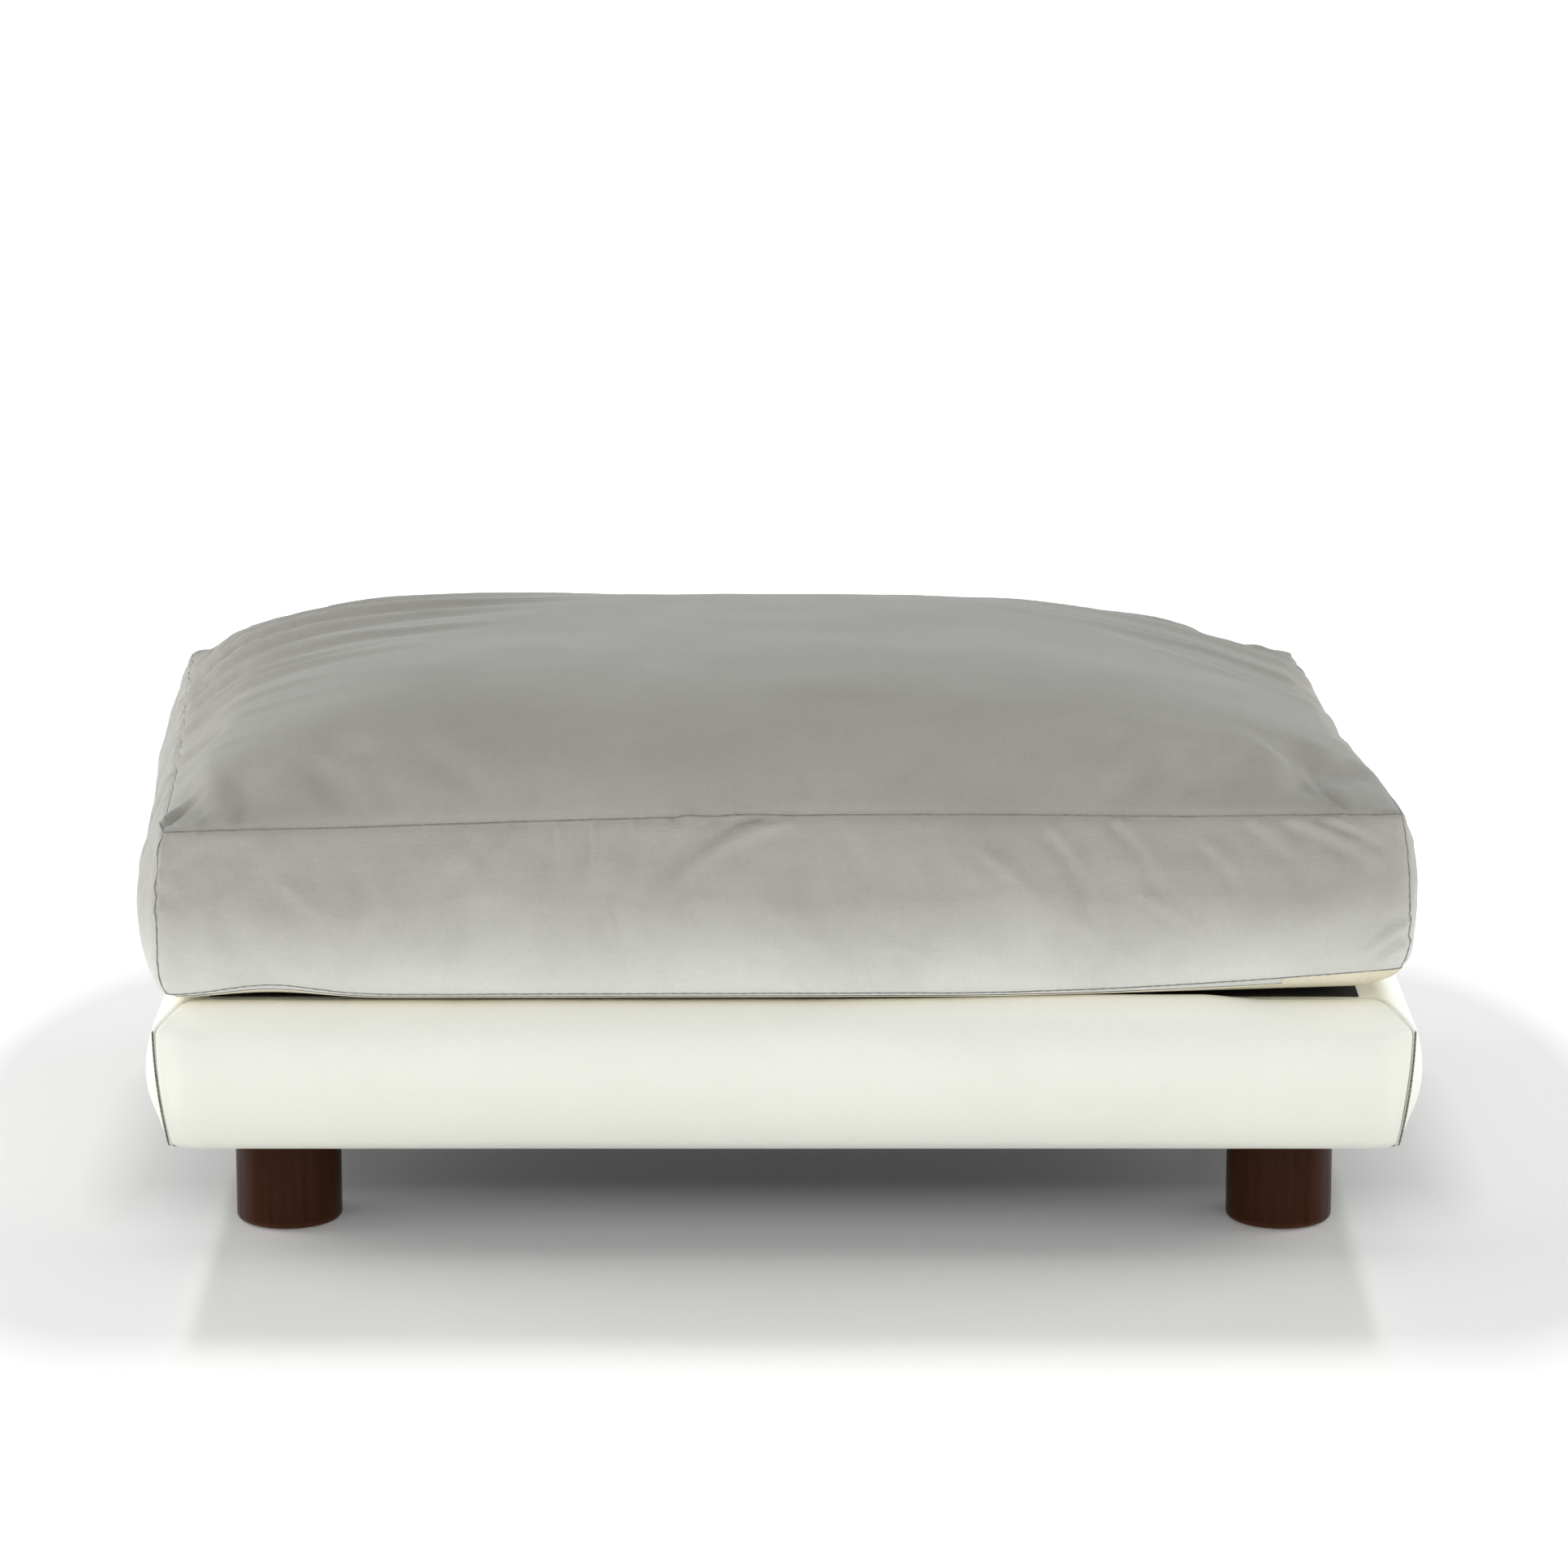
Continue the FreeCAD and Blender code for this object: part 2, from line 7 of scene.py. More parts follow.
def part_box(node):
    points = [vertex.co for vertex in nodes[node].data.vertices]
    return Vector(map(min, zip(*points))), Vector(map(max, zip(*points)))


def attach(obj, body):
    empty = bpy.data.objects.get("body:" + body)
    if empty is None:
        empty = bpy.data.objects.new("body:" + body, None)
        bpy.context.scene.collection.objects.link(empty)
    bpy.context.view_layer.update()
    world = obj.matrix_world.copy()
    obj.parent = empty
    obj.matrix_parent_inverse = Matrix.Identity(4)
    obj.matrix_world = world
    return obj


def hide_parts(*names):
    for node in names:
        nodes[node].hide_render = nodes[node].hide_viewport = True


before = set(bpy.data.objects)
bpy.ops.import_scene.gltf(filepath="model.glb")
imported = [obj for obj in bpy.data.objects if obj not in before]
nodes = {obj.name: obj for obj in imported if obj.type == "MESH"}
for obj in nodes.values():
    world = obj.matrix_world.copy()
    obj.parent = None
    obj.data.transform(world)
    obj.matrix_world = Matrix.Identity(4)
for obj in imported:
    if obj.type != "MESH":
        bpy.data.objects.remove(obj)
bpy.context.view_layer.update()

# Dog bed: upholstered base on four screw-in feet, with a loose box-edge cushion on top.
# Metres, the front faces -Y. Small sizes are given as a number of mm.
mm = 0.001
scene = bpy.context.scene
sides = ("front", "rear", "left", "right")
corners = ("front_left", "front_right", "rear_left", "rear_right")


# handling pieces
def pickOnly(*pieces):
    bpy.ops.object.select_all(action="DESELECT")
    for piece in pieces:
        piece.select_set(True)
    bpy.context.view_layer.objects.active = pieces[0]


def named(piece, name):
    piece.name = name
    piece.data.name = name
    return piece


def pointsOf(piece, wanted="co"):
    found = np.zeros(len(piece.data.vertices) * 3, np.float32)
    piece.data.vertices.foreach_get(wanted, found)
    return found.reshape(-1, 3).astype(float)


def setPoints(piece, places):
    piece.data.vertices.foreach_set("co", places.astype(np.float32).ravel())
    piece.data.update()


def keepCut(piece, places):
    # where each point lies on the flat-cut cloth, for folds and for the weave
    kept = piece.data.attributes.new("cut", "FLOAT_VECTOR", "POINT")
    kept.data.foreach_set("vector", places.astype(np.float32).ravel())


def cutOf(piece):
    found = np.zeros(len(piece.data.vertices) * 3, np.float32)
    piece.data.attributes["cut"].data.foreach_get("vector", found)
    return found.reshape(-1, 3).astype(float)


def editAt(piece, kind):
    # into edit mode on points, edges or faces, keeping what is marked
    scene.tool_settings.mesh_select_mode = (kind == "VERT", kind == "EDGE", kind == "FACE")
    pickOnly(piece)
    bpy.ops.object.mode_set(mode="EDIT")


def backToObject():
    bpy.ops.object.mode_set(mode="OBJECT")


def editOnly(piece, kind, chosen):
    # into edit mode with only those faces or edges picked
    mesh = piece.data
    for part in (mesh.vertices, mesh.edges, mesh.polygons):
        part.foreach_set("select", np.zeros(len(part), bool))
    wanted = mesh.polygons if kind == "FACE" else mesh.edges
    wanted.foreach_set("select", np.asarray(chosen, bool))
    editAt(piece, kind)


def editAll(piece):
    editAt(piece, "FACE")
    bpy.ops.mesh.select_all(action="SELECT")


def trimAway(piece, faces):
    editOnly(piece, "FACE", faces)
    bpy.ops.mesh.delete(type="FACE")
    backToObject()


def copyOff(piece, kind, chosen, name):
    # a copy of those faces or edges, as a piece of its own
    editOnly(piece, kind, chosen)
    bpy.ops.mesh.duplicate()
    bpy.ops.mesh.separate(type="SELECTED")
    backToObject()
    return named(next(o for o in bpy.context.selected_objects if o != piece), name)


def newGrid(name, across, along):
    bpy.ops.object.select_all(action="DESELECT")
    bpy.ops.mesh.primitive_grid_add(size=1, x_subdivisions=across, y_subdivisions=along)
    return named(bpy.context.active_object, name)


def newBox(place, size):
    bpy.ops.object.select_all(action="DESELECT")
    bpy.ops.mesh.primitive_cube_add(size=1, location=place)
    bpy.ops.transform.resize(value=size)
    bpy.ops.object.transform_apply(location=True, rotation=True, scale=True)
    return bpy.context.active_object


def easeEdges(piece, size):
    editAll(piece)
    bpy.ops.mesh.bevel(offset=size, segments=1, affect="EDGES")
    backToObject()


def agreeNormals(piece):
    editAll(piece)
    bpy.ops.mesh.normals_make_consistent(inside=False)
    backToObject()


def joined(pieces, name):
    pickOnly(*pieces)
    bpy.ops.object.join()
    return named(bpy.context.active_object, name)


def edgeEnds(piece):
    ends = np.zeros(len(piece.data.edges) * 2, np.int32)
    piece.data.edges.foreach_get("vertices", ends)
    return ends.reshape(-1, 2)


def cutAcross(piece, axis, count):
    # divide every edge that runs along one axis, which leaves a grid of square cells
    if count > 100:
        cutAcross(piece, axis, 2)
        count = round(count / 2)
    ends = edgeEnds(piece)
    places = pointsOf(piece)
    run = np.abs(places[ends[:, 0]] - places[ends[:, 1]])
    editOnly(piece, "EDGE", run[:, axis] > 0.9 * run.sum(axis=1))
    bpy.ops.mesh.subdivide(number_cuts=count - 1)
    backToObject()


def applied(piece, kind, **settings):
    modifier = piece.modifiers.new(kind.lower(), kind)
    for setting, value in settings.items():
        setattr(modifier, setting, value)
    pickOnly(piece)
    bpy.ops.object.modifier_apply(modifier=modifier.name)
    return piece


def repeated(piece, step, count):
    return applied(
        piece, "ARRAY", use_relative_offset=False, use_constant_offset=True,
        constant_offset_displace=(step, 0, 0), count=count,
    )


def smoothed(piece, angle=40):
    pickOnly(piece)
    bpy.ops.object.shade_smooth_by_angle(angle=math.radians(angle))
    return piece


def ripple(places, size, seed):
    # soft unevenness, about -1 to 1, with lumps of that size
    shift = Vector((seed * 3.17, seed * 1.91, seed * 0.73))
    return np.array([noise.noise(Vector(p) / size + shift) for p in places])


def finishOf(piece, material):
    piece.data.materials.clear()
    piece.data.materials.append(material)
    return piece


# finishes, each a small tree of texture nodes round one shader
shaderSockets = {
    "gloss": "Specular IOR Level",
    "coat": "Coat Weight",
    "coatRoughness": "Coat Roughness",
    "sheen": "Sheen Weight",
    "sheenRoughness": "Sheen Roughness",
    "sheenTint": "Sheen Tint",
    "softness": "Subsurface Weight",
    "metal": "Metallic",
}


def newFinish(name):
    material = bpy.data.materials.new(name)
    material.use_nodes = True
    tree = material.node_tree
    tree.nodes.clear()
    shader = tree.nodes.new("ShaderNodeBsdfPrincipled")
    out = tree.nodes.new("ShaderNodeOutputMaterial")
    tree.links.new(shader.outputs["BSDF"], out.inputs["Surface"])
    return material, tree, shader


def wire(tree, value, socket):
    # a number or colour is set, anything else is a socket to link
    if isinstance(value, bpy.types.NodeSocket):
        tree.links.new(value, socket)
    else:
        socket.default_value = value


def placeOn(tree, stretch=(1, 1, 1), cloth=None):
    # object coordinates, or the flat-cut cloth's own, stretched along an axis
    if cloth:
        source = tree.nodes.new("ShaderNodeAttribute")
        source.attribute_name = cloth
        found = source.outputs["Vector"]
    else:
        found = tree.nodes.new("ShaderNodeTexCoord").outputs["Object"]
    mapping = tree.nodes.new("ShaderNodeMapping")
    mapping.inputs["Scale"].default_value = stretch
    tree.links.new(found, mapping.inputs["Vector"])
    return mapping.outputs["Vector"]


def grains(tree, where, scale, detail=2.0, rough=0.5, warp=0.0):
    node = tree.nodes.new("ShaderNodeTexNoise")
    node.inputs["Scale"].default_value = scale
    node.inputs["Detail"].default_value = detail
    node.inputs["Roughness"].default_value = rough
    node.inputs["Distortion"].default_value = warp
    tree.links.new(where, node.inputs["Vector"])
    return node.outputs["Fac"]


def cells(tree, where, scale, feature="F1"):
    node = tree.nodes.new("ShaderNodeTexVoronoi")
    node.feature = feature
    node.inputs["Scale"].default_value = scale
    tree.links.new(where, node.inputs["Vector"])
    return node.outputs["Distance"]


def threads(tree, where, scale, direction="X", warp=0.0):
    node = tree.nodes.new("ShaderNodeTexWave")
    node.bands_direction = direction
    node.inputs["Scale"].default_value = scale
    node.inputs["Distortion"].default_value = warp
    node.inputs["Detail"].default_value = 2.0
    node.inputs["Detail Scale"].default_value = 1.5
    tree.links.new(where, node.inputs["Vector"])
    return node.outputs["Fac"]


def sums(tree, first, second, how="ADD"):
    node = tree.nodes.new("ShaderNodeMath")
    node.operation = how
    wire(tree, first, node.inputs[0])
    wire(tree, second, node.inputs[1])
    return node.outputs[0]


def spreadOver(tree, value, low, high, fromLow=0.0, fromHigh=1.0):
    node = tree.nodes.new("ShaderNodeMapRange")
    node.inputs["From Min"].default_value = fromLow
    node.inputs["From Max"].default_value = fromHigh
    node.inputs["To Min"].default_value = low
    node.inputs["To Max"].default_value = high
    tree.links.new(value, node.inputs["Value"])
    return node.outputs["Result"]


def shades(tree, value, *stops):
    node = tree.nodes.new("ShaderNodeValToRGB")
    ramp = node.color_ramp
    while len(ramp.elements) < len(stops):
        ramp.elements.new(0.5)
    for element, (place, colour) in zip(ramp.elements, stops):
        element.position = place
        element.color = (*colour, 1)
    tree.links.new(value, node.inputs["Fac"])
    return node.outputs["Color"]


def between(tree, amount, first, second, how="MIX"):
    node = tree.nodes.new("ShaderNodeMix")
    node.data_type = "RGBA"
    node.blend_type = how
    wire(tree, amount, node.inputs[0])
    wire(tree, first if not isinstance(first, tuple) else (*first, 1), node.inputs[6])
    wire(tree, second if not isinstance(second, tuple) else (*second, 1), node.inputs[7])
    return node.outputs[2]


def raised(tree, shader, height, depth, strength=0.5):
    node = tree.nodes.new("ShaderNodeBump")
    node.inputs["Distance"].default_value = depth
    node.inputs["Strength"].default_value = strength
    tree.links.new(height, node.inputs["Height"])
    tree.links.new(node.outputs["Normal"], shader.inputs["Normal"])


def surface(tree, shader, colour, roughness, **others):
    # colour and roughness, and any other setting named in shaderSockets
    wire(tree, colour, shader.inputs["Base Color"])
    wire(tree, roughness, shader.inputs["Roughness"])
    for setting, value in others.items():
        shader.inputs[shaderSockets[setting]].default_value = value


def scaled(tree, value, share):
    return sums(tree, value, share, "MULTIPLY")


def heightOf(tree):
    # how high a point is above the floor, in metres
    node = tree.nodes.new("ShaderNodeSeparateXYZ")
    tree.links.new(placeOn(tree), node.inputs["Vector"])
    return node.outputs["Z"]


def makeVelvet():
    material, tree, shader = newFinish("grey velvet")
    cloth = placeOn(tree, cloth="cut")
    pile = grains(tree, cloth, 1100, 3, 0.7)
    slubAcross = grains(tree, placeOn(tree, (160, 1500, 1500), "cut"), 1.0, 2)
    slubAlong = grains(tree, placeOn(tree, (1500, 160, 200), "cut"), 1.0, 2)
    weave = sums(tree, slubAcross, slubAlong)
    nap = grains(tree, placeOn(tree, (6, 14, 22), "cut"), 1.0, 4, 0.55)
    # painted light: the bottom of the boxing is painted paler, as if lit from the floor below, with a cloudy
    # edge
    edge = grains(tree, placeOn(tree, (11, 11, 7), "cut"), 1.0, 4, 0.55)
    low = spreadOver(tree, sums(tree, heightOf(tree), scaled(tree, edge, 0.05)), 1.0, 0.0, 0.190, 0.250)
    base = shades(tree, nap, (0.3, (0.325, 0.315, 0.286)), (0.7, (0.380, 0.370, 0.340)))
    base = between(tree, low, base, (0.60, 0.605, 0.57))
    # painted shade: the top panel is painted a little darker, as it gets less light from above
    top = spreadOver(tree, heightOf(tree), 0.0, 1.0, 0.262, 0.276)
    base = between(tree, top, base, (0.96, 0.955, 0.94), "MULTIPLY")
    fleck = spreadOver(tree, sums(tree, weave, scaled(tree, pile, 0.6)), 0.94, 1.05, 0.7, 1.8)
    tone = tree.nodes.new("ShaderNodeCombineColor")
    for channel in ("Red", "Green", "Blue"):
        tree.links.new(fleck, tone.inputs[channel])
    base = between(tree, 1.0, base, tone.outputs["Color"], "MULTIPLY")
    surface(tree, shader, base, spreadOver(tree, nap, 0.78, 0.95), gloss=0.12,
            sheen=0.28, sheenRoughness=0.42, sheenTint=(0.93, 0.97, 1.0, 1))
    raised(tree, shader, sums(tree, weave, scaled(tree, pile, 0.8)), 0.0006, 0.55)
    return material


def makeBacking():
    material, tree, shader = newFinish("cream backing cloth")
    across = threads(tree, placeOn(tree), 260, "X", 0.6)
    along = threads(tree, placeOn(tree), 260, "Y", 0.6)
    weave = sums(tree, across, along, "MAXIMUM")
    patch = grains(tree, placeOn(tree), 18, 4)
    base = shades(tree, patch, (0.3, (0.66, 0.61, 0.46)), (0.7, (0.74, 0.70, 0.56)))
    # painted shade between the threads of the weave
    base = between(tree, spreadOver(tree, weave, 0.22, 0.0), base, (0.42, 0.38, 0.27))
    surface(tree, shader, base, spreadOver(tree, weave, 0.92, 0.75), gloss=0.2)
    raised(tree, shader, weave, 0.0005, 0.6)
    return material


def makeVinyl():
    material, tree, shader = newFinish("off-white faux leather")
    body = placeOn(tree)
    pebble = cells(tree, body, 820, "SMOOTH_F1")
    crease = cells(tree, placeOn(tree, (1, 1, 1.4)), 430, "DISTANCE_TO_EDGE")
    soft = grains(tree, body, 9, 3)
    cloud = grains(tree, body, 55, 4, 0.6)
    base = shades(tree, soft, (0.3, (0.735, 0.745, 0.675)), (0.7, (0.775, 0.785, 0.715)))
    # painted shade in the creases of the grain
    base = between(tree, spreadOver(tree, crease, 0.10, 0.0, 0.0, 0.12), base, (0.60, 0.60, 0.53))
    # handling marks along the bottom edge
    worn = scaled(tree, spreadOver(tree, heightOf(tree), 0.16, 0.0, 0.063, 0.082), cloud)
    base = between(tree, worn, base, (0.55, 0.52, 0.44))
    # painted light: the rolled edge is painted paler, as if lit more from above
    paintedLightOnRoll = spreadOver(tree, heightOf(tree), 0.0, 0.75, 0.1385, 0.144)
    base = between(tree, paintedLightOnRoll, base, (0.93, 0.935, 0.86))
    # painted shade, warm as if bounced off the cream underside, where the cushion overhangs the base
    paintedShadeUnderCushion = spreadOver(tree, heightOf(tree), 0.0, 0.22, 0.149, 0.1555)
    base = between(tree, paintedShadeUnderCushion, base, (0.66, 0.55, 0.36))
    surface(tree, shader, base, spreadOver(tree, cloud, 0.34, 0.50), gloss=0.42, sheen=0.05)
    raised(tree, shader, sums(tree, scaled(tree, pebble, 0.6), scaled(tree, crease, 0.8)), 0.00022, 0.5)
    return material


def makeFootWood():
    material, tree, shader = newFinish("dark stained wood")
    body = placeOn(tree, (1, 1, 0.07))
    figure = grains(tree, body, 120, 5, 0.6, 0.8)
    pores = grains(tree, placeOn(tree, (1, 1, 0.035)), 1400, 2, 0.6)
    rings = threads(tree, placeOn(tree, (1, 1, 0.1)), 42, "X", 6.0)
    base = shades(tree, figure, (0.25, (0.025, 0.0078, 0.0030)), (0.55, (0.034, 0.0105, 0.0040)),
                  (0.8, (0.045, 0.0140, 0.0054)))
    base = between(tree, spreadOver(tree, rings, 0.0, 0.16), base, (0.058, 0.018, 0.007))
    base = between(tree, spreadOver(tree, pores, 0.3, 0.0, 0.28, 0.42), base, (0.012, 0.004, 0.0025))
    # lacquer thins along the bottom edge
    scuff = scaled(tree, spreadOver(tree, heightOf(tree), 0.55, 0.0, 0.001, 0.0055), figure)
    base = between(tree, scuff, base, (0.17, 0.075, 0.040))
    surface(tree, shader, base, spreadOver(tree, figure, 0.26, 0.42), gloss=0.05,
            coat=0.03, coatRoughness=0.18)
    raised(tree, shader, sums(tree, figure, pores), 0.00018, 0.35)
    return material


def makeBoard(name, along):
    # sawn softwood: the grain runs along the axis that is stretched least
    material, tree, shader = newFinish(name)
    body = placeOn(tree, along)
    figure = threads(tree, body, 34, "Z", 9.0)
    fibre = grains(tree, body, 420, 4, 0.65)
    dark = (0.44, 0.27, 0.13)
    base = shades(tree, figure, (0.1, (0.62, 0.44, 0.25)), (0.9, dark))
    base = between(tree, spreadOver(tree, fibre, 0.45, 0.0, 0.3, 0.6), base, dark)
    knot = cells(tree, placeOn(tree, (along[0] * 60, 14, 14)), 1.1)
    base = between(tree, spreadOver(tree, knot, 0.9, 0.0, 0.03, 0.10), base, (0.10, 0.045, 0.02))
    surface(tree, shader, base, spreadOver(tree, fibre, 0.58, 0.80), gloss=0.3)
    raised(tree, shader, sums(tree, fibre, figure), 0.0003, 0.5)
    return material


def makePly():
    material, tree, shader = newFinish("birch plywood")
    body = placeOn(tree, (0.05, 1, 1))
    figure = threads(tree, body, 16, "Y", 11.0)
    fibre = grains(tree, body, 500, 4, 0.6)
    plies = threads(tree, placeOn(tree), 110, "Z", 0.3)
    base = shades(tree, figure, (0.1, (0.56, 0.41, 0.25)), (0.9, (0.46, 0.31, 0.17)))
    base = between(tree, spreadOver(tree, plies, 0.0, 0.35), base, (0.26, 0.16, 0.08))
    base = between(tree, spreadOver(tree, fibre, 0.35, 0.0, 0.3, 0.6), base, (0.34, 0.22, 0.12))
    surface(tree, shader, base, spreadOver(tree, fibre, 0.55, 0.75))
    raised(tree, shader, fibre, 0.0002, 0.5)
    return material


def makeFoam(name, pale, deep, pore):
    material, tree, shader = newFinish(name)
    body = placeOn(tree)
    pores = cells(tree, body, pore, "SMOOTH_F1")
    fine = grains(tree, body, pore * 1.7, 3, 0.7)
    tint = grains(tree, body, 12, 3)
    base = shades(tree, tint, (0.3, pale), (0.75, deep))
    # painted shade in the pores
    base = between(tree, spreadOver(tree, pores, 0.35, 0.0, 0.0, 0.5), base, deep)
    surface(tree, shader, base, spreadOver(tree, fine, 0.85, 0.98), gloss=0.15, sheen=0.1)
    raised(tree, shader, sums(tree, pores, fine), 0.0009, 0.7)
    return material


def makeDarkCloth():
    # spunbonded cloth: pressed dots over matted threads
    material, tree, shader = newFinish("dark spunbonded cloth")
    body = placeOn(tree)
    matted = grains(tree, body, 700, 4, 0.75, 1.2)
    strands = grains(tree, placeOn(tree, (0.12, 1, 1)), 900, 3, 0.7)
    dots = cells(tree, body, 520)
    base = shades(tree, matted, (0.3, (0.010, 0.008, 0.0065)), (0.7, (0.028, 0.022, 0.018)))
    base = between(tree, spreadOver(tree, dots, 0.6, 0.0, 0.15, 0.3), base, (0.006, 0.005, 0.004))
    surface(tree, shader, base, spreadOver(tree, strands, 0.62, 0.92), gloss=0.25)
    raised(tree, shader, sums(tree, sums(tree, matted, strands), dots), 0.0005, 0.6)
    return material


def makeMetal(name, colour, dull, roughLow, roughHigh, brushed=(1, 1, 1)):
    material, tree, shader = newFinish(name)
    streak = grains(tree, placeOn(tree, brushed), 900, 3, 0.6)
    stain = grains(tree, placeOn(tree), 160, 4, 0.6)
    base = shades(tree, stain, (0.35, dull), (0.7, colour))
    surface(tree, shader, base, spreadOver(tree, streak, roughLow, roughHigh), metal=1.0)
    raised(tree, shader, sums(tree, streak, stain), 0.00012, 0.35)
    return material


def makeFelt():
    material, tree, shader = newFinish("brown glide felt")
    body = placeOn(tree)
    hair = grains(tree, body, 1200, 5, 0.8, 1.5)
    clump = grains(tree, body, 210, 3)
    base = shades(tree, hair, (0.3, (0.10, 0.075, 0.055)), (0.7, (0.21, 0.17, 0.13)))
    surface(tree, shader, base, spreadOver(tree, clump, 0.86, 0.98), sheen=0.35)
    raised(tree, shader, sums(tree, hair, clump), 0.0008, 0.8)
    return material


def makeZipCloth():
    material, tree, shader = newFinish("grey zip tape")
    rib = threads(tree, placeOn(tree), 620, "Z", 0.2)
    pick = threads(tree, placeOn(tree), 900, "X", 0.2)
    weave = sums(tree, rib, pick, "MULTIPLY")
    tint = grains(tree, placeOn(tree), 60, 3)
    base = shades(tree, tint, (0.3, (0.235, 0.23, 0.215)), (0.7, (0.29, 0.285, 0.265)))
    # painted shade between the ribs and picks of the weave
    base = between(tree, spreadOver(tree, weave, 0.45, 0.0), base, (0.13, 0.127, 0.118))
    surface(tree, shader, base, spreadOver(tree, weave, 0.85, 0.65))
    raised(tree, shader, weave, 0.0004, 0.6)
    return material


def makeZipNylon():
    material, tree, shader = newFinish("grey zip nylon")
    soft = grains(tree, placeOn(tree), 260, 3)
    fine = grains(tree, placeOn(tree), 1500, 2)
    base = shades(tree, soft, (0.3, (0.21, 0.205, 0.195)), (0.7, (0.27, 0.265, 0.25)))
    surface(tree, shader, base, spreadOver(tree, fine, 0.3, 0.48), softness=0.05)
    raised(tree, shader, fine, 0.0001, 0.3)
    return material


def makeThread(name, pale, deep, gap):
    material, tree, shader = newFinish(name)
    twist = threads(tree, placeOn(tree), 700, "DIAGONAL", 0.4)
    tint = grains(tree, placeOn(tree), 120, 3)
    base = shades(tree, tint, (0.3, deep), (0.7, pale))
    # painted shade in the grooves of the twist, in the gap colour
    base = between(tree, spreadOver(tree, twist, 0.35, 0.0), base, gap)
    surface(tree, shader, base, spreadOver(tree, twist, 0.6, 0.8), sheen=0.3)
    raised(tree, shader, twist, 0.0002, 0.6)
    return material


finishes = {
    "cushion_velvet": makeVelvet(),
    "cushion_backing": makeBacking(),
    "faux_leather": makeVinyl(),
    "foot_wood": makeFootWood(),
    "deck_ply": makePly(),
    "foam": makeFoam("cream cushion foam", (0.78, 0.72, 0.50), (0.64, 0.57, 0.36), 520),
    "fibre_fill": makeFoam("white fibre filling", (0.86, 0.86, 0.84), (0.70, 0.70, 0.68), 240),
    "dark_cloth": makeDarkCloth(),
    "zinc_steel": makeMetal("zinc plated steel", (0.62, 0.63, 0.64), (0.42, 0.42, 0.41), 0.26, 0.44),
    "glide_felt": makeFelt(),
    "zip_cloth": makeZipCloth(),
    "zip_nylon": makeZipNylon(),
    "zip_metal": makeMetal("brushed zip metal", (0.50, 0.49, 0.47), (0.34, 0.33, 0.31), 0.2, 0.36,
                           (0.2, 1, 1)),
}
pineAlongX = makeBoard("pine, grain along the bed", (0.06, 1, 1))
pineAlongY = makeBoard("pine, grain across the bed", (1, 0.06, 1))
thread = makeThread("pale grey sewing thread", (0.50, 0.495, 0.47), (0.36, 0.355, 0.335), (0.22, 0.215, 0.2))
seamThread = makeThread("grey sewing thread", (0.27, 0.262, 0.24), (0.18, 0.175, 0.16), (0.09, 0.088, 0.08))
waxedThread = makeThread("brown waxed thread", (0.20, 0.17, 0.12), (0.10, 0.085, 0.06), (0.03, 0.025, 0.018))
for name, piece in nodes.items():
    slot = piece.data.materials[0].name
    if slot == "frame_pine":
        acrossBed = name.startswith(("left_rail", "right_rail", "deck_batten"))
        piece.data.materials[0] = pineAlongY if acrossBed else pineAlongX
    else:
        piece.data.materials[0] = finishes[slot]
print("finishes made:", len(finishes))


# cushion: box-edge cover cut as one closed cloth, stuffed, then gathered and creased
cushion = {
    "cell": 6 * mm,              # cloth cell before the last subdivision
    "bulge": {"front": 12 * mm, "rear": 12 * mm, "left": 15 * mm, "right": 12 * mm},
    "cornerBulge": 6 * mm,       # boxing stands out this much at the upright corner seams
    "crownPower": {"left": 5.6, "right": 3.1, "across": 4.1},    # flatness of the crown
    "crownShare": 0.88,          # the crown starts lower than it ends up
    "bottomSink": 34 * mm,       # underside lifts to its seam over this width
    "seed": 4,
    "looseness": 0.9 * mm,       # uneven start that the stuffing turns into puckers
    "looseSize": 42 * mm,
    "pressure": 1.6,
    "slack": 0.016,              # cloth cut larger than the filling
    "gather": 0.028,             # seams drawn in along the thread
    "frames": 14,
    "moveCap": 6 * mm,
    "seamDepth": 1.5 * mm,
    "seamWidth": 2.6 * mm,
    "lean": 29.5 * mm,           # rear of the cushion sits this far to the left
    "turn": 10 * mm,             # right end of the front sits further back, left end forward
    "seamRise": 3.2 * mm,        # front top seam climbs to the right
    "cornerLift": 15.5 * mm,     # front right corner stands off the base
    "leftLift": 6.5 * mm,        # and the front edge a little, near its left end
    "turnUnder": 5 * mm,         # velvet turned under before the cream cloth starts
    "liftedFrom": (300 * mm, -150 * mm),
    "coreCell": 13 * mm,
    "coreIn": 12 * mm,           # foam core, in from the cloth at the sides
    "coreBelowTop": 24 * mm,
    "coreEase": 8 * mm,
    "fibreIn": 9 * mm,
    "fibreThick": 14 * mm,
}
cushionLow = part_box("cover_bottom_panel")[0]
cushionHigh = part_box("cover_top_panel")[1]
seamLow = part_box("boxing_front")[0].z
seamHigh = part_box("cover_top_panel")[0].z + 1.5 * mm
halfLength = cushionHigh.x
halfDepth = cushionHigh.y
halfBox = (seamHigh - seamLow) / 2
boxMiddle = (seamHigh + seamLow) / 2
crownRise = cushionHigh.z - seamHigh
bottomDrop = seamLow - cushionLow.z - 0.6 * mm

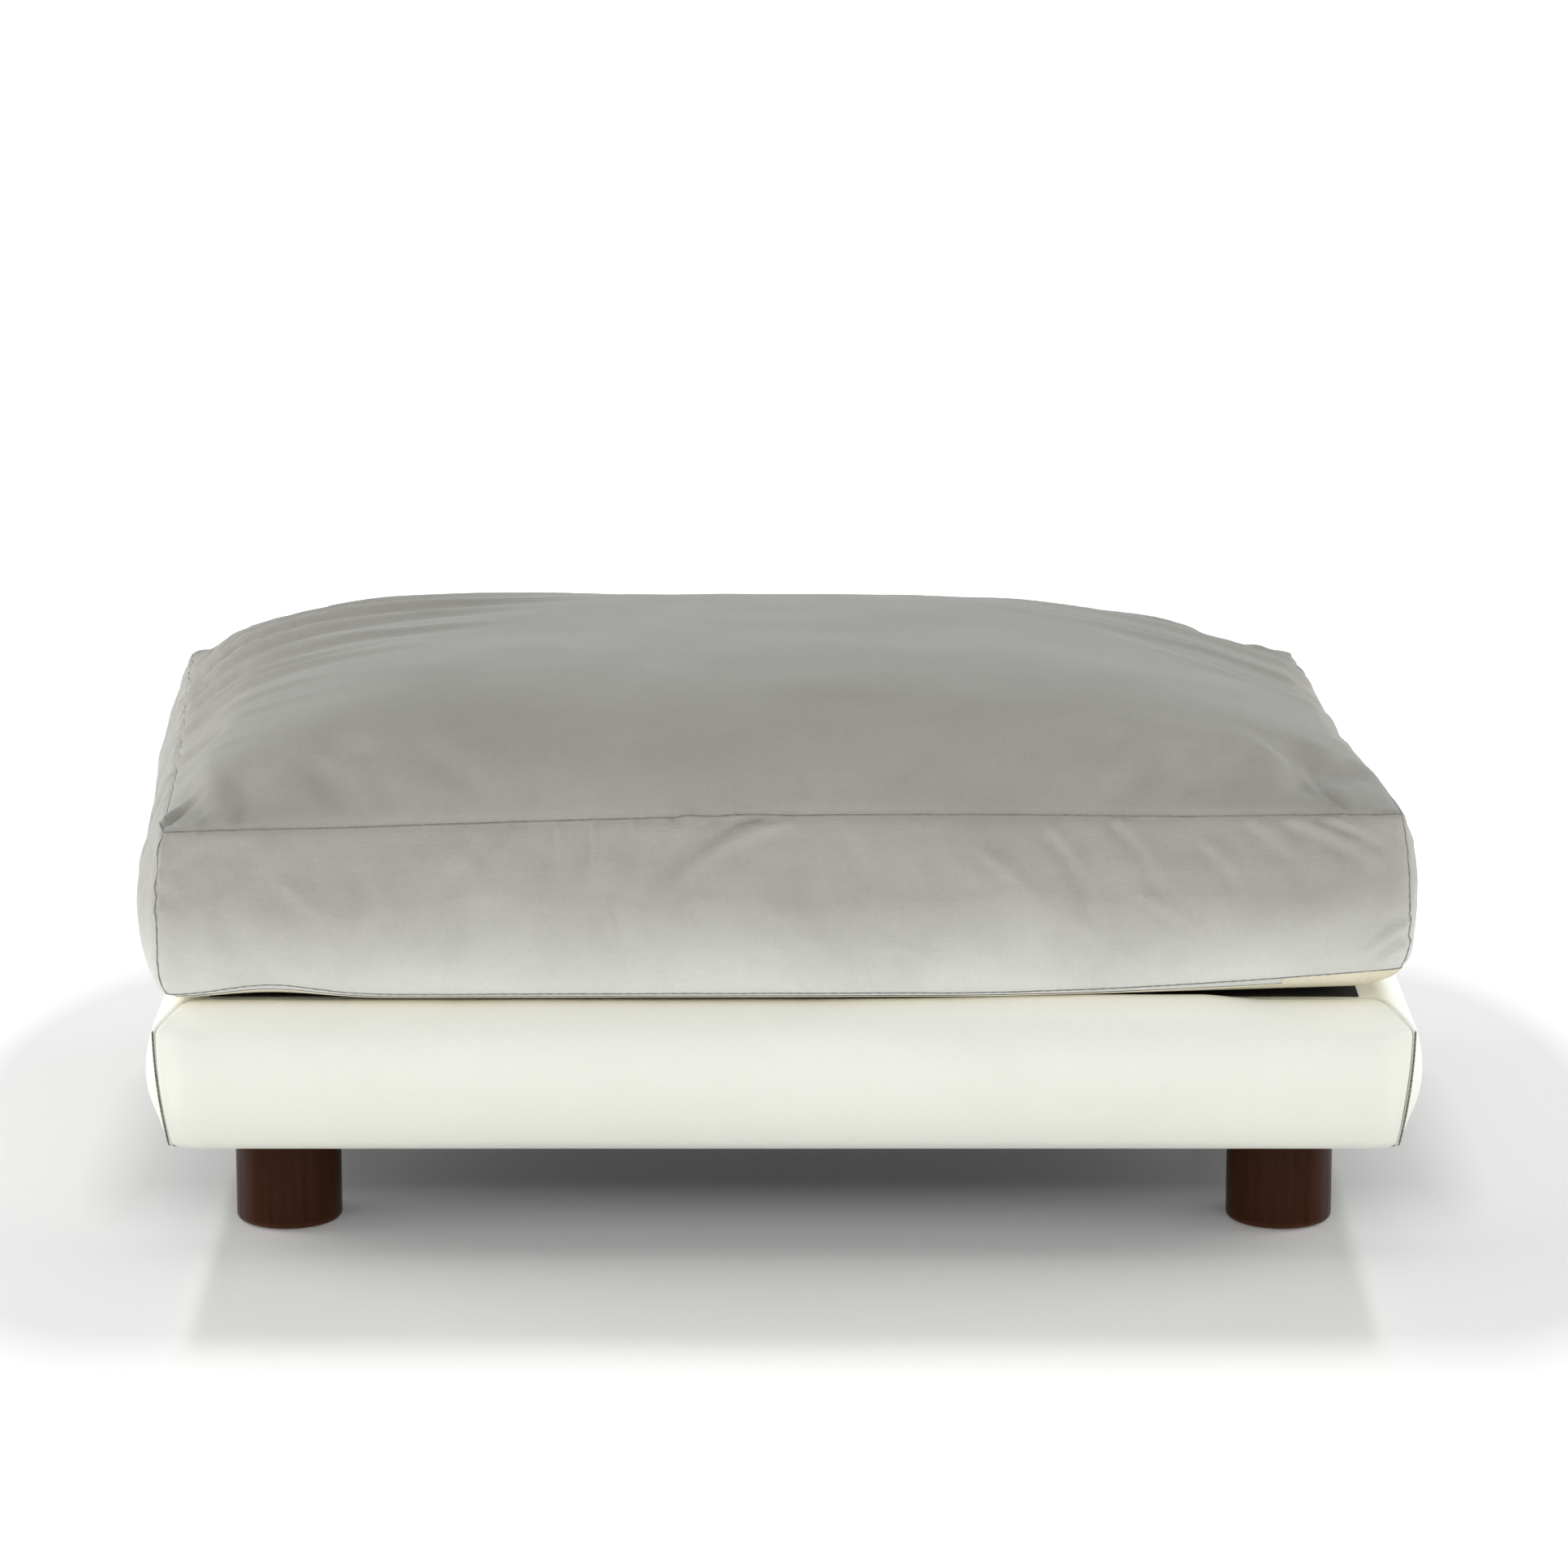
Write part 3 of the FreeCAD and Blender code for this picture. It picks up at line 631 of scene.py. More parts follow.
# creases on the top panel: start x y, end x y, bend to the side, width, height, all in mm
topCreases = [
    (-371, 238, -206, 231, -7, 5.5, 2), (-371, 222, -96, 220, -13, 7, 2.9),
    (-371, 207, -236, 192, -6, 5, 1.6), (-371, 194, -120, 186, -15, 7, 3),
    (-371, 178, -216, 158, -8, 5, 3.6), (-371, 165, -62, 170, -22, 9, 4.6),
    (-371, 146, -196, 132, -12, 5.5, 4), (-371, 132, -250, 108, -6, 4.5, 2.7),
    (-371, 116, -104, 118, -22, 7.4, 7.4), (-371, 97, -216, 74, -11, 5.1, 5.1),
    (-371, 80, -142, 78, -20, 6.4, 6.4), (-371, 57, -246, 30, -9, 4.6, 4.2),
    (-371, 40, -158, 30, -19, 7.4, 5.4), (-371, 12, -236, -14, -12, 5.5, 4.2),
    (-371, -14, -206, -26, -15, 7.4, 3.8), (-371, -52, -262, -76, -9, 5.5, 2.9),
    (-371, -90, -246, -112, -11, 7.4, 2.4), (-371, -136, -292, -158, -7, 5.5, 1.8),
    (-320, 246, -262, 176, 10, 6, 2), (-232, 246, -196, 170, 8, 7, 1.6),
    (-150, 246, -120, 165, 8, 9, 1.2), (40, 246, 70, 160, 6, 9, 1.2), (180, 246, 190, 150, 6, 9, 1.4),
    (371, 158, 170, 220, 22, 8.1, 4.5), (371, 104, 120, 192, 28, 9, 4.5),
    (371, 50, 90, 150, 32, 9.9, 3.5), (371, 200, 262, 238, 10, 5.4, 3.2),
    (371, -16, 210, 50, 20, 9, 2.2), (371, 226, 318, 240, 4, 4, 3.2), (371, 130, 240, 186, 14, 5.4, 2.8),
    (336, -246, 318, -172, 6, 3.2, 2.6), (348, -246, 338, -204, 2, 2.6, 1.2),
    (-62, -246, 6, -239, -9, 4.5, 3.4), (-36, -246, 34, -235, -6, 3.5, 1.8),
    (-352, -246, -336, -228, 2, 3.2, 1.8), (-330, -246, -320, -224, 2, 3, 1.8),
    (-371, -236, -346, -200, 5, 4.1, 4.2),
]
# creases on the front boxing: the second number of each point is up from its bottom seam
frontCreases = [
    (-4, 105, -78, 56, -8, 5.3, 4.8), (-30, 106, -66, 78, -3, 3.5, 2.2), (6, 106, -30, 88, -2, 3.1, 2),
    (-134, 105, -138, 56, 2, 4.4, 2.1), (-112, 104, -106, 44, -3, 4.4, 2.4), (-88, 105, -93, 58, 2, 4.4, 2),
    (-66, 104, -78, 52, 2, 4.4, 1.8), (-104, 62, -94, 14, 2, 4.4, 2.8), (-162, 106, -190, 64, 3, 5.3, 2),
    (-371, 70, -336, 105, 7, 4.4, 3.6), (-371, 54, -350, 88, 4, 3.5, 2.2), (-371, 101, -358, 62, -5, 3, 3.9),
    (318, 106, 371, 76, 5, 3.5, 4.5), (300, 104, 371, 56, 8, 5.3, 3.1), (276, 106, 332, 36, 8, 6.2, 2.4),
    (196, 106, 236, 44, 8, 5.3, 2.7), (158, 100, 196, 22, 8, 5.3, 3.1), (214, 60, 266, 12, 5, 4.4, 2.8),
    (120, 84, 176, 8, 8, 5.3, 2.7), (250, 92, 292, 28, 6, 5.3, 2.2), (371, 22, 340, 3, 3, 3.1, 2.8),
    (371, 36, 334, 12, 3, 3.5, 2.4), (-240, 100, -264, 36, 6, 7.9, 1.7), (40, 100, 68, 30, 5, 7.9, 1.7),
    (-300, 72, -246, 10, 6, 7.9, 1.7), (60, 32, 116, 4, 3, 5.3, 2), (-20, 34, 24, 4, 3, 6.2, 1.7),
]
# the same on the other three sides, along the run from its middle
sideCreases = {
    "left": [
        (-236, 78, -196, 104, 5, 5, 1.6), (-150, 104, -168, 30, 5, 7, 1.4), (-96, 104, -120, 20, 6, 7, 1.7),
        (-40, 104, -66, 24, 5, 7, 1.5), (12, 104, -8, 30, 5, 7, 1.8), (66, 104, 48, 22, 5, 7, 1.5),
        (118, 104, 104, 28, 5, 7, 1.7), (170, 104, 160, 30, 4, 6, 1.5), (214, 104, 236, 60, 4, 5, 1.6),
    ],
    "right": [
        (-236, 60, -190, 104, 6, 6, 1.6), (-120, 104, -96, 36, 5, 8, 1.2), (-20, 104, -44, 30, 5, 8, 1.2),
        (70, 104, 52, 26, 5, 7, 1.3), (150, 104, 138, 34, 4, 7, 1.4), (206, 104, 238, 62, 4, 5, 1.6),
    ],
    "rear": [
        (-360, 60, -320, 104, 6, 6, 1.5), (-230, 104, -244, 74, 3, 7, 0.9), (-90, 104, -104, 72, 3, 7, 0.9),
        (60, 104, 48, 74, 3, 7, 0.9), (190, 104, 206, 72, 3, 7, 0.9), (360, 64, 322, 104, 6, 6, 1.5),
        (-160, 4, -150, 34, 3, 7, 0.8), (120, 4, 128, 34, 3, 7, 0.8),
    ],
}


def creaseHeights(across, up, creases):
    # how far the cloth stands out at each point, for a set of bent creases
    total = np.zeros(len(across))
    steps = np.linspace(0, 1, 110)
    for x0, y0, x1, y1, bend, width, height in creases:
        start = np.array((x0, y0)) * mm
        run = np.array((x1, y1)) * mm - start
        aside = np.array((-run[1], run[0])) / np.linalg.norm(run) * bend * mm
        line = start + np.outer(steps, run) + np.outer(4 * steps * (1 - steps), aside)
        reach = 4 * width * mm
        low, high = line.min(axis=0) - reach, line.max(axis=0) + reach
        near = (across > low[0]) & (across < high[0]) & (up > low[1]) & (up < high[1])
        if not near.any():
            continue
        here = np.stack((across[near], up[near]), axis=1)
        gaps = np.linalg.norm(here[:, None] - line[None], axis=2)
        nearest = gaps.argmin(axis=1)
        share = steps[nearest]
        tangent = np.gradient(line, axis=0)[nearest]
        offset = here - line[nearest]
        sign = np.sign(tangent[:, 0] * offset[:, 1] - tangent[:, 1] * offset[:, 0])
        spread = width * mm * (0.75 + 0.6 * share)
        away = sign * gaps[np.arange(len(here)), nearest] / spread
        # a steep side, a rounded back and a shallow trough
        profile = np.exp(-((away - 0.15) ** 2) * np.where(away > 0.15, 1.0, 3.0))
        profile -= 0.55 * np.exp(-((away + 1.25) ** 2) * 1.6)
        fade = np.clip(share / 0.05 + 0.35, 0, 1) * (1 - share) ** 0.8
        total[near] += height * mm * profile * fade
    return total


def stuffedShape(flat):
    # from the flat-cut box to the filled form: crown, bulged boxing, softened underside
    u = flat[:, 0] / halfLength
    v = flat[:, 1] / halfDepth
    w = (flat[:, 2] - boxMiddle) / halfBox
    places = flat.copy()
    onTop = w > 0.999
    onBottom = w < -0.999
    onSide = ~onTop & ~onBottom
    power = cushion["crownPower"]
    alongPower = np.interp(u, (-0.3, 0.3), (power["left"], power["right"]))
    crown = (1 - np.abs(u) ** alongPower) * (1 - np.abs(v) ** power["across"])
    places[onTop, 2] += (crownRise * cushion["crownShare"] * crown)[onTop]
    edge = np.minimum(halfLength - np.abs(flat[:, 0]), halfDepth - np.abs(flat[:, 1]))
    sink = np.clip(edge / cushion["bottomSink"], 0, 1)
    places[onBottom, 2] -= (bottomDrop * np.sin(sink * math.pi / 2))[onBottom]
    bulge = cushion["bulge"]
    corner = cushion["cornerBulge"]
    for axis, run, low, high in ((0, v, "left", "right"), (1, u, "front", "rear")):
        half = (halfLength, halfDepth)[axis]
        outer = onSide & (np.abs(flat[:, axis]) > half - 1e-6)
        full = np.where(flat[:, axis] < 0, bulge[low], bulge[high])
        upper = np.clip(1 - ((w + 0.2) / 1.2) ** 2, 0, 1)
        lower = np.clip((w + 1) / 0.5, 0, 1)
        rounded = np.where(w > -0.2, upper, 1) * np.sqrt(1 - (1 - lower) ** 2)
        stand = (corner + (full - corner) * (1 - np.abs(run) ** 12)) * rounded
        places[outer, axis] += (np.sign(flat[:, axis]) * stand)[outer]
    return places


def slump(places):
    # the loose cushion isn't set square: its rear leans left, its front is turned a little,
    # its seams rise to the right and the front right corner is lifted off the base
    u = places[:, 0] / halfLength
    t = np.clip((places[:, 1] / halfDepth + 1) / 2, 0, 1)
    up = np.clip((places[:, 2] - seamLow) / (seamHigh - seamLow), 0, 1)
    moved = places.copy()
    moved[:, 0] -= cushion["lean"] * t
    moved[:, 1] += cushion["turn"] * u * (1 - t) * (0.35 + 0.65 * up)
    front = (1 - t) ** 1.3
    liftTop = 0.6 * mm + cushion["seamRise"] * u
    right = np.clip((u - 0.25) / 0.75, 0, 1) ** 1.75
    left = np.exp(-(((u + 0.83) / 0.1) ** 2))
    inside = np.minimum(halfLength - np.abs(places[:, 0]), halfDepth - np.abs(places[:, 1]))
    atEdge = np.exp(-np.maximum(inside, 0) / (26 * mm))
    liftLow = cushion["cornerLift"] * right * (1 - t) ** 2.5 + cushion["leftLift"] * left * front
    moved[:, 2] += liftLow * atEdge * (1 - up) + front * liftTop * up
    return moved


def seamGap(flat):
    # distance along the cloth from each point to its nearest seam
    gaps = (halfLength, halfDepth, halfBox) - np.abs(flat - (0, 0, boxMiddle))
    gaps.sort(axis=1)
    return gaps[:, 1]


def stuff(piece, flat):
    # cloth with air inside it: slack cloth and drawn-in seams give the puckers
    start = pointsOf(piece)
    group = piece.vertex_groups.new(name="drawn in")
    held = piece.vertex_groups.new(name="held")
    gap = seamGap(flat)
    leftEnd = np.clip((-flat[:, 0] / halfLength - 0.55) / 0.45, 0, 1)
    for i in range(len(flat)):
        if gap[i] < 1.5 * cushion["cell"]:
            group.add([i], 0.45 + 0.55 * float(leftEnd[i]), "REPLACE")
        toCorner = max(halfLength - abs(flat[i, 0]), halfDepth - abs(flat[i, 1]))
        if flat[i, 2] < boxMiddle - 0.99 * halfBox or toCorner < 20 * mm:
            held.add([i], 1.0, "REPLACE")
    cloth = piece.modifiers.new("stuffing", "CLOTH")
    facts = cloth.settings
    facts.quality = 4
    facts.mass = 0.3
    facts.tension_stiffness = 12
    facts.compression_stiffness = 12
    facts.shear_stiffness = 4
    facts.bending_stiffness = 0.35
    facts.air_damping = 2
    facts.use_pressure = True
    facts.uniform_pressure_force = cushion["pressure"]
    facts.vertex_group_mass = "held"
    facts.vertex_group_shrink = "drawn in"
    facts.shrink_min = -cushion["slack"]
    facts.shrink_max = cushion["gather"]
    facts.effector_weights.gravity = 0
    cloth.point_cache.frame_end = cushion["frames"]
    for frameNumber in range(1, cushion["frames"] + 1):
        scene.frame_set(frameNumber)
    pickOnly(piece)
    bpy.ops.object.modifier_apply(modifier=cloth.name)
    scene.frame_set(1)
    moved = pointsOf(piece) - start
    far = np.linalg.norm(moved, axis=1)
    moved *= np.minimum(1, cushion["moveCap"] / np.maximum(far, 1e-9))[:, None]
    setPoints(piece, start + moved)
    piece.vertex_groups.clear()


def makeBlock(name, cell):
    # the cushion before it is filled: a closed box with an even grid of square cells
    size = (2 * halfLength, 2 * halfDepth, 2 * halfBox)
    block = named(newBox((0, 0, boxMiddle), size), name)
    for axis in range(3):
        cutAcross(block, axis, max(2, round(size[axis] / cell)))
    return block


def makeCushionCover():
    cover = makeBlock("cushion_cover", cushion["cell"])
    flat = pointsOf(cover)
    keepCut(cover, flat)
    places = stuffedShape(flat)
    setPoints(cover, places)
    smoothed(cover, 180)
    start = ripple(flat, cushion["looseSize"], cushion["seed"])
    soft = np.clip(seamGap(flat) / (30 * mm), 0.15, 1) * (flat[:, 2] > boxMiddle - 0.98 * halfBox)
    setPoints(cover, places + pointsOf(cover, "normal") * (cushion["looseness"] * start * soft)[:, None])
    stuff(cover, flat)
    print("cushion stuffed")
    applied(cover, "SUBSURF", levels=1, render_levels=1)
    smoothed(cover, 180)

    flat = cutOf(cover)
    normals = pointsOf(cover, "normal")
    gap = np.maximum(seamGap(flat), 0)
    onTop = flat[:, 2] > boxMiddle + 0.97 * halfBox
    onBottom = flat[:, 2] < boxMiddle - 0.97 * halfBox
    upSide = flat[:, 2] - seamLow
    out = np.zeros(len(flat))
    out += np.where(onTop, creaseHeights(flat[:, 0], flat[:, 1], topCreases), 0)
    onFront = ~onTop & ~onBottom & (flat[:, 1] < -halfDepth + 1 * mm)
    onRear = ~onTop & ~onBottom & (flat[:, 1] > halfDepth - 1 * mm)
    onLeft = ~onTop & ~onBottom & (flat[:, 0] < -halfLength + 1 * mm)
    onRight = ~onTop & ~onBottom & (flat[:, 0] > halfLength - 1 * mm)
    out += np.where(onFront, creaseHeights(flat[:, 0], upSide, frontCreases), 0)
    out += np.where(onRear, creaseHeights(flat[:, 0], upSide, sideCreases["rear"]), 0)
    out += np.where(onLeft, creaseHeights(flat[:, 1], upSide, sideCreases["left"]), 0)
    out += np.where(onRight, creaseHeights(flat[:, 1], upSide, sideCreases["right"]), 0)
    # the left seam is wavy where the fan of creases meets it
    wave = ripple(flat * (0, 1, 0), 13 * mm, 9) * np.clip((flat[:, 1] + 150 * mm) / (200 * mm), 0, 1)
    nearLeft = np.exp(-((flat[:, 0] + halfLength) / (16 * mm)) ** 2) * np.exp(-(gap / (14 * mm)) ** 2)
    out += 2.6 * mm * wave * nearLeft
    pinch = 1 + 0.35 * ripple(flat, 7 * mm, 2)
    out -= cushion["seamDepth"] * pinch * np.exp(-((gap / cushion["seamWidth"]) ** 2))
    out *= np.where(onBottom, 0.3, 1)
    # the rear boxing lies flat behind the zip
    zipLow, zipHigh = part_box("zip_tape")
    zipMiddle = (zipLow.z + zipHigh.z) / 2
    places = pointsOf(cover) + normals * out[:, None]
    lip = np.abs(places[:, 2] - zipMiddle) / (zipHigh.z - zipMiddle)
    inZip = onRear & (np.abs(places[:, 0]) < zipHigh.x + 3 * mm)
    blend = np.where(inZip, np.clip((2.4 - lip) / 1.2, 0, 1), 0)
    beside = zipLow.y - 0.3 * mm + 1.7 * mm * np.clip((lip - 0.72) / 0.5, 0, 1)
    places[:, 1] = places[:, 1] * (1 - blend) + beside * blend
    setPoints(cover, slump(places))
    return cover


def makeUnderside(cover):
    # cream panel sewn into the bottom seam, cut from the cover's own bottom faces
    flat = cutOf(cover)
    low = flat[:, 2] < boxMiddle - halfBox + 0.2 * mm
    fromX, fromY = cushion["liftedFrom"]
    lifted = (flat[:, 0] > fromX) & (flat[:, 1] < fromY)
    low &= (seamGap(flat) > cushion["turnUnder"]) | lifted
    faces = [all(low[v] for v in face.vertices) for face in cover.data.polygons]
    panel = copyOff(cover, "FACE", faces, "cushion_underside")
    edge = np.clip(seamGap(cutOf(panel)) / cushion["turnUnder"], 0, 1)
    places = pointsOf(panel)
    places[:, 2] -= 0.15 * mm + 0.25 * mm * edge
    setPoints(panel, places)
    applied(panel, "SOLIDIFY", thickness=0.5 * mm, offset=1)
    return smoothed(panel, 60)


def makeSeams(cover):
    # the sewn line along every seam, standing just proud of its valley
    flat = cutOf(cover)
    sewn = seamGap(flat) < 0.25 * mm
    ends = edgeEnds(cover)
    seams = copyOff(cover, "EDGE", sewn[ends[:, 0]] & sewn[ends[:, 1]], "cushion_seams")
    pickOnly(seams)
    bpy.ops.object.convert(target="CURVE")
    seams.data.bevel_depth = 0.55 * mm
    seams.data.bevel_resolution = 1
    seams.data.use_fill_caps = True
    bpy.ops.object.convert(target="MESH")
    seams = bpy.context.active_object
    along = pointsOf(seams)
    # stitches draw the line thin every few millimetres
    thin = 0.16 * mm * np.sin(along.sum(axis=1) / (1.1 * mm))
    setPoints(seams, along + pointsOf(seams, "normal") * thin[:, None])
    return smoothed(seams, 60)


def makeFoamCore():
    # one block of foam with a domed top, eased at its edges, inside the cloth and the fibre
    block = makeBlock("cushion_foam", cushion["coreCell"])
    flat = pointsOf(block)
    places = stuffedShape(flat)
    gap = np.clip(1 - seamGap(flat) / (24 * mm), 0, 1) ** 2
    setPoints(block, places)
    smoothed(block, 180)
    top = flat[:, 2] > boxMiddle + 0.99 * halfBox
    inward = np.where(top, cushion["coreBelowTop"], cushion["coreIn"]) + cushion["coreEase"] * gap
    places -= pointsOf(block, "normal") * inward[:, None]
    places[:, 2] = np.maximum(places[:, 2], cushionLow.z + 2.5 * mm)
    places += pointsOf(block, "normal") * (ripple(places, 60 * mm, 3) * 0.8 * mm)[:, None]
    setPoints(block, slump(places))
    applied(block, "SUBSURF", levels=1, render_levels=1)
    return smoothed(block, 180)


def makeFibreTopper():
    # soft layer wrapped over the foam's top
    layer = makeBlock("cushion_fibre", cushion["coreCell"])
    flat = pointsOf(layer)
    setPoints(layer, stuffedShape(flat))
    smoothed(layer, 180)
    gap = np.clip(1 - seamGap(flat) / (22 * mm), 0, 1) ** 2
    places = pointsOf(layer) - pointsOf(layer, "normal") * (cushion["fibreIn"] * (1 + gap))[:, None]
    places += pointsOf(layer, "normal") * (ripple(places, 35 * mm, 6) * 1.2 * mm)[:, None]
    setPoints(layer, slump(places))
    low = [face.center.z < seamHigh - 30 * mm or face.normal.z < 0.05 for face in layer.data.polygons]
    trimAway(layer, low)
    applied(layer, "SOLIDIFY", thickness=cushion["fibreThick"], offset=-1)
    applied(layer, "SUBSURF", levels=1, render_levels=1)
    return smoothed(layer, 180)


cover = makeCushionCover()
underside = makeUnderside(cover)
seams = makeSeams(cover)
core = makeFoamCore()
topper = makeFibreTopper()
finishOf(cover, finishes["cushion_velvet"])
finishOf(underside, finishes["cushion_backing"])
finishOf(seams, seamThread)
finishOf(core, finishes["foam"])
finishOf(topper, finishes["fibre_fill"])
for piece in (cover, underside, seams, core, topper):
    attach(piece, "cushion")
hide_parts("cover_top_panel", *["boxing_" + side for side in sides])
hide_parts("cover_bottom_panel")
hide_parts("foam_core")
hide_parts("fibre_topper")
print("cushion made:", len(cover.data.polygons), "faces")


# base: faux leather stretched over the padded sides, one panel to a side
base = {
    "tuck": 8 * mm,              # the side is pulled in this far at the bottom
    "tuckRadius": 4 * mm,
    "sideBulge": 9.2 * mm,
    "endBulge": 1.6 * mm,        # flatter beside the corner seams
    "bulgeRun": 30 * mm,
    "crestIn": 17 * mm,          # highest line of the padded edge, in from the side
    "crestRise": 14.2 * mm,
    "crestFuller": 4.4 * mm,     # the front edge is stuffed fuller to the right of its middle
    "rollIn": 27 * mm,
    "lapIn": 51 * mm,
    "underIn": 32 * mm,          # leather turned under the rails and stapled
    "leather": 1.2 * mm,
    "cellAlong": 6 * mm,
    "cellAcross": 3.6 * mm,
    "seamRoll": 3.2 * mm,        # the panel's end rolls into the corner seam over this width
    "seamDeep": 2.6 * mm,
    "wobble": 0.45 * mm,
    "threadRadius": 0.6 * mm,
    "threadIn": 1.3 * mm,        # corner thread, sunk this far behind the faces
}
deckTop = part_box("deck_panel")[1].z
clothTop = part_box("deck_cloth")[1].z
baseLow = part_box("front_cover")[0].z
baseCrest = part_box("front_cover")[1].z
baseHalf = {"x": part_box("deck_panel")[1].x + 18 * mm, "y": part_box("deck_panel")[1].y + 18 * mm}


def roundRun(start, end, bow, count):
    # points of a shallow arc from start to end, standing out to the left by bow
    run = np.array(end) - np.array(start)
    left = np.array((-run[1], run[0])) / np.linalg.norm(run)
    share = np.linspace(0, 1, count, endpoint=False)
    return np.array(start) + np.outer(share, run) + np.outer(4 * share * (1 - share) * bow, left)


def sideSection(bulge):
    # the padded side from its turned-under edge, up the face, over the roll, to the lap on the deck
    lap = deckTop + base["leather"]
    edge = baseCrest - base["crestRise"]
    tuck = base["tuck"]
    radius = base["tuckRadius"]
    runs = (
        roundRun((base["underIn"], baseLow), (tuck + radius, baseLow), 0, 5),
        roundRun((tuck + radius, baseLow), (tuck - 0.4 * mm, baseLow + radius), -1.2 * mm, 3),
        roundRun((tuck - 0.4 * mm, baseLow + radius), (0, edge), bulge, 24),
        roundRun((0, edge), (base["crestIn"], baseCrest), 0.8 * mm, 7),
        roundRun((base["crestIn"], baseCrest), (base["rollIn"], lap), 0.3 * mm, 4),
        roundRun((base["rollIn"], lap), (base["lapIn"], lap), 0, 7),
    )
    return np.vstack((*runs, [(base["lapIn"], lap)]))


def alongLine(line, share):
    # points at a share of the line's length
    steps = np.linalg.norm(np.diff(line, axis=0), axis=1)
    at = np.concatenate(([0], np.cumsum(steps))) / steps.sum()
    return np.stack([np.interp(share, at, line[:, k]) for k in range(2)], axis=1)


def makePanel(side, name, setIn=0.0, thick=base["leather"] * 0.8):
    # flat-cut leather as a grid, carried round the padded side and mitred at both ends
    # the foam behind it is shaped the same way, set further in
    alongX = side in ("front", "rear")
    half = baseHalf["x"] if alongX else baseHalf["y"]
    reach = baseHalf["y"] if alongX else baseHalf["x"]
    section = sideSection(base["sideBulge"])
    length = np.linalg.norm(np.diff(section, axis=0), axis=1).sum()
    panel = newGrid(name, round(2 * half / base["cellAlong"]), round(length / base["cellAcross"]))
    grid = pointsOf(panel)
    along = 2 * grid[:, 0]
    share = np.clip(grid[:, 1] + 0.5, 0, 1)
    keepCut(panel, np.stack((along * half, share * length, np.zeros(len(along))), axis=1))
    # cells crowd towards the ends, where the seam rolls and the side runs flatter
    along = np.sign(along) * (1 - (1 - np.abs(along)) ** 1.25)
    full = np.clip((1 - np.abs(along)) * half / base["bulgeRun"], 0, 1)
    full = (full * full * (3 - 2 * full))[:, None]
    endSection = sideSection(base["endBulge"])
    behind, here, ahead = [
        alongLine(endSection, at) * (1 - full) + alongLine(section, at) * full
        for at in (np.clip(share - 0.004, 0, 1), share, np.clip(share + 0.004, 0, 1))
    ]
    inward = np.stack((ahead[:, 1] - behind[:, 1], behind[:, 0] - ahead[:, 0]), axis=1)
    inward /= np.linalg.norm(inward, axis=1)[:, None]
    end = half - here[:, 0]
    gapToSeam = (1 - np.abs(along)) * end
    roll = np.clip(1 - gapToSeam / base["seamRoll"], 0, 1)
    flat = np.stack((along * half, share * length * 1.4, np.full(len(along), reach)), axis=1)
    swell = ripple(flat, 95 * mm, len(side)) * base["wobble"]
    swell += ripple(flat, 34 * mm, len(side) + 3) * 0.16 * mm
    lapped = np.clip((here[:, 0] - base["rollIn"]) / (6 * mm), 0, 1) * (here[:, 1] > baseLow + 20 * mm)
    under = (here[:, 1] < baseLow + 0.5 * mm) * 1.0
    depth = base["seamDeep"] * roll**2 * (1 - 0.85 * lapped) - swell * (1 - lapped) * (1 - under)
    # small tucks where the leather is drawn round the bottom corner
    tuckZone = np.clip(1 - (here[:, 1] - baseLow) / (34 * mm), 0, 1)
    tuckZone *= np.clip(1 - gapToSeam / (60 * mm), 0, 1)
    depth += 0.9 * mm * tuckZone * np.sin(gapToSeam / (3.1 * mm)) * (1 - under) * (roll == 0)
    here = here + inward * (depth + setIn)[:, None]
    if side == "front":
        onCrest = np.exp(-(((here[:, 0] - base["crestIn"]) / (8 * mm)) ** 2))
        onCrest *= here[:, 1] > baseLow + 40 * mm
        fuller = np.interp(along, (0.05, 0.5, 0.70, 0.80), (0, 1, 1, 0.12))
        here[:, 1] += (0.6 * mm + base["crestFuller"] * fuller) * onCrest * (roll == 0)
    x = along * (half - here[:, 0]) - np.sign(along) * 0.35 * mm * (roll > 0)
    y = -(reach - here[:, 0])
    places = np.stack((x, y, here[:, 1]), axis=1)
    turns = {"front": (1, 0), "right": (0, 1), "rear": (-1, 0), "left": (0, -1)}[side]
    turned = places.copy()
    turned[:, 0] = places[:, 0] * turns[0] - places[:, 1] * turns[1]
    turned[:, 1] = places[:, 0] * turns[1] + places[:, 1] * turns[0]
    setPoints(panel, turned)
    agreeNormals(panel)
    outward = np.array([face.normal for face in panel.data.polygons])
    centres = np.array([face.center for face in panel.data.polygons])
    if (outward * (centres - (0, 0, deckTop - 60 * mm))).sum() < 0:
        panel.data.flip_normals()
    applied(panel, "SUBSURF", levels=1, render_levels=1)
    applied(panel, "SOLIDIFY", thickness=thick, offset=-1)
    return smoothed(panel, 50), (2 * half, length)


def makeSideFoam(side):
    # foam strip between the leather and the rail, trimmed where the rail and the deck begin
    foam, cut = makePanel(side, side + "_side_foam", 1.6 * mm, 6 * mm)
    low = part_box(side + "_pad")[0].z + 1 * mm
    editAll(foam)
    bpy.ops.mesh.bisect(plane_co=(0, 0, low), plane_no=(0, 0, 1), clear_inner=True, use_fill=True)
    backToObject()
    finishOf(foam, finishes["foam"])
    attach(foam, "base")
    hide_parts(side + "_pad")


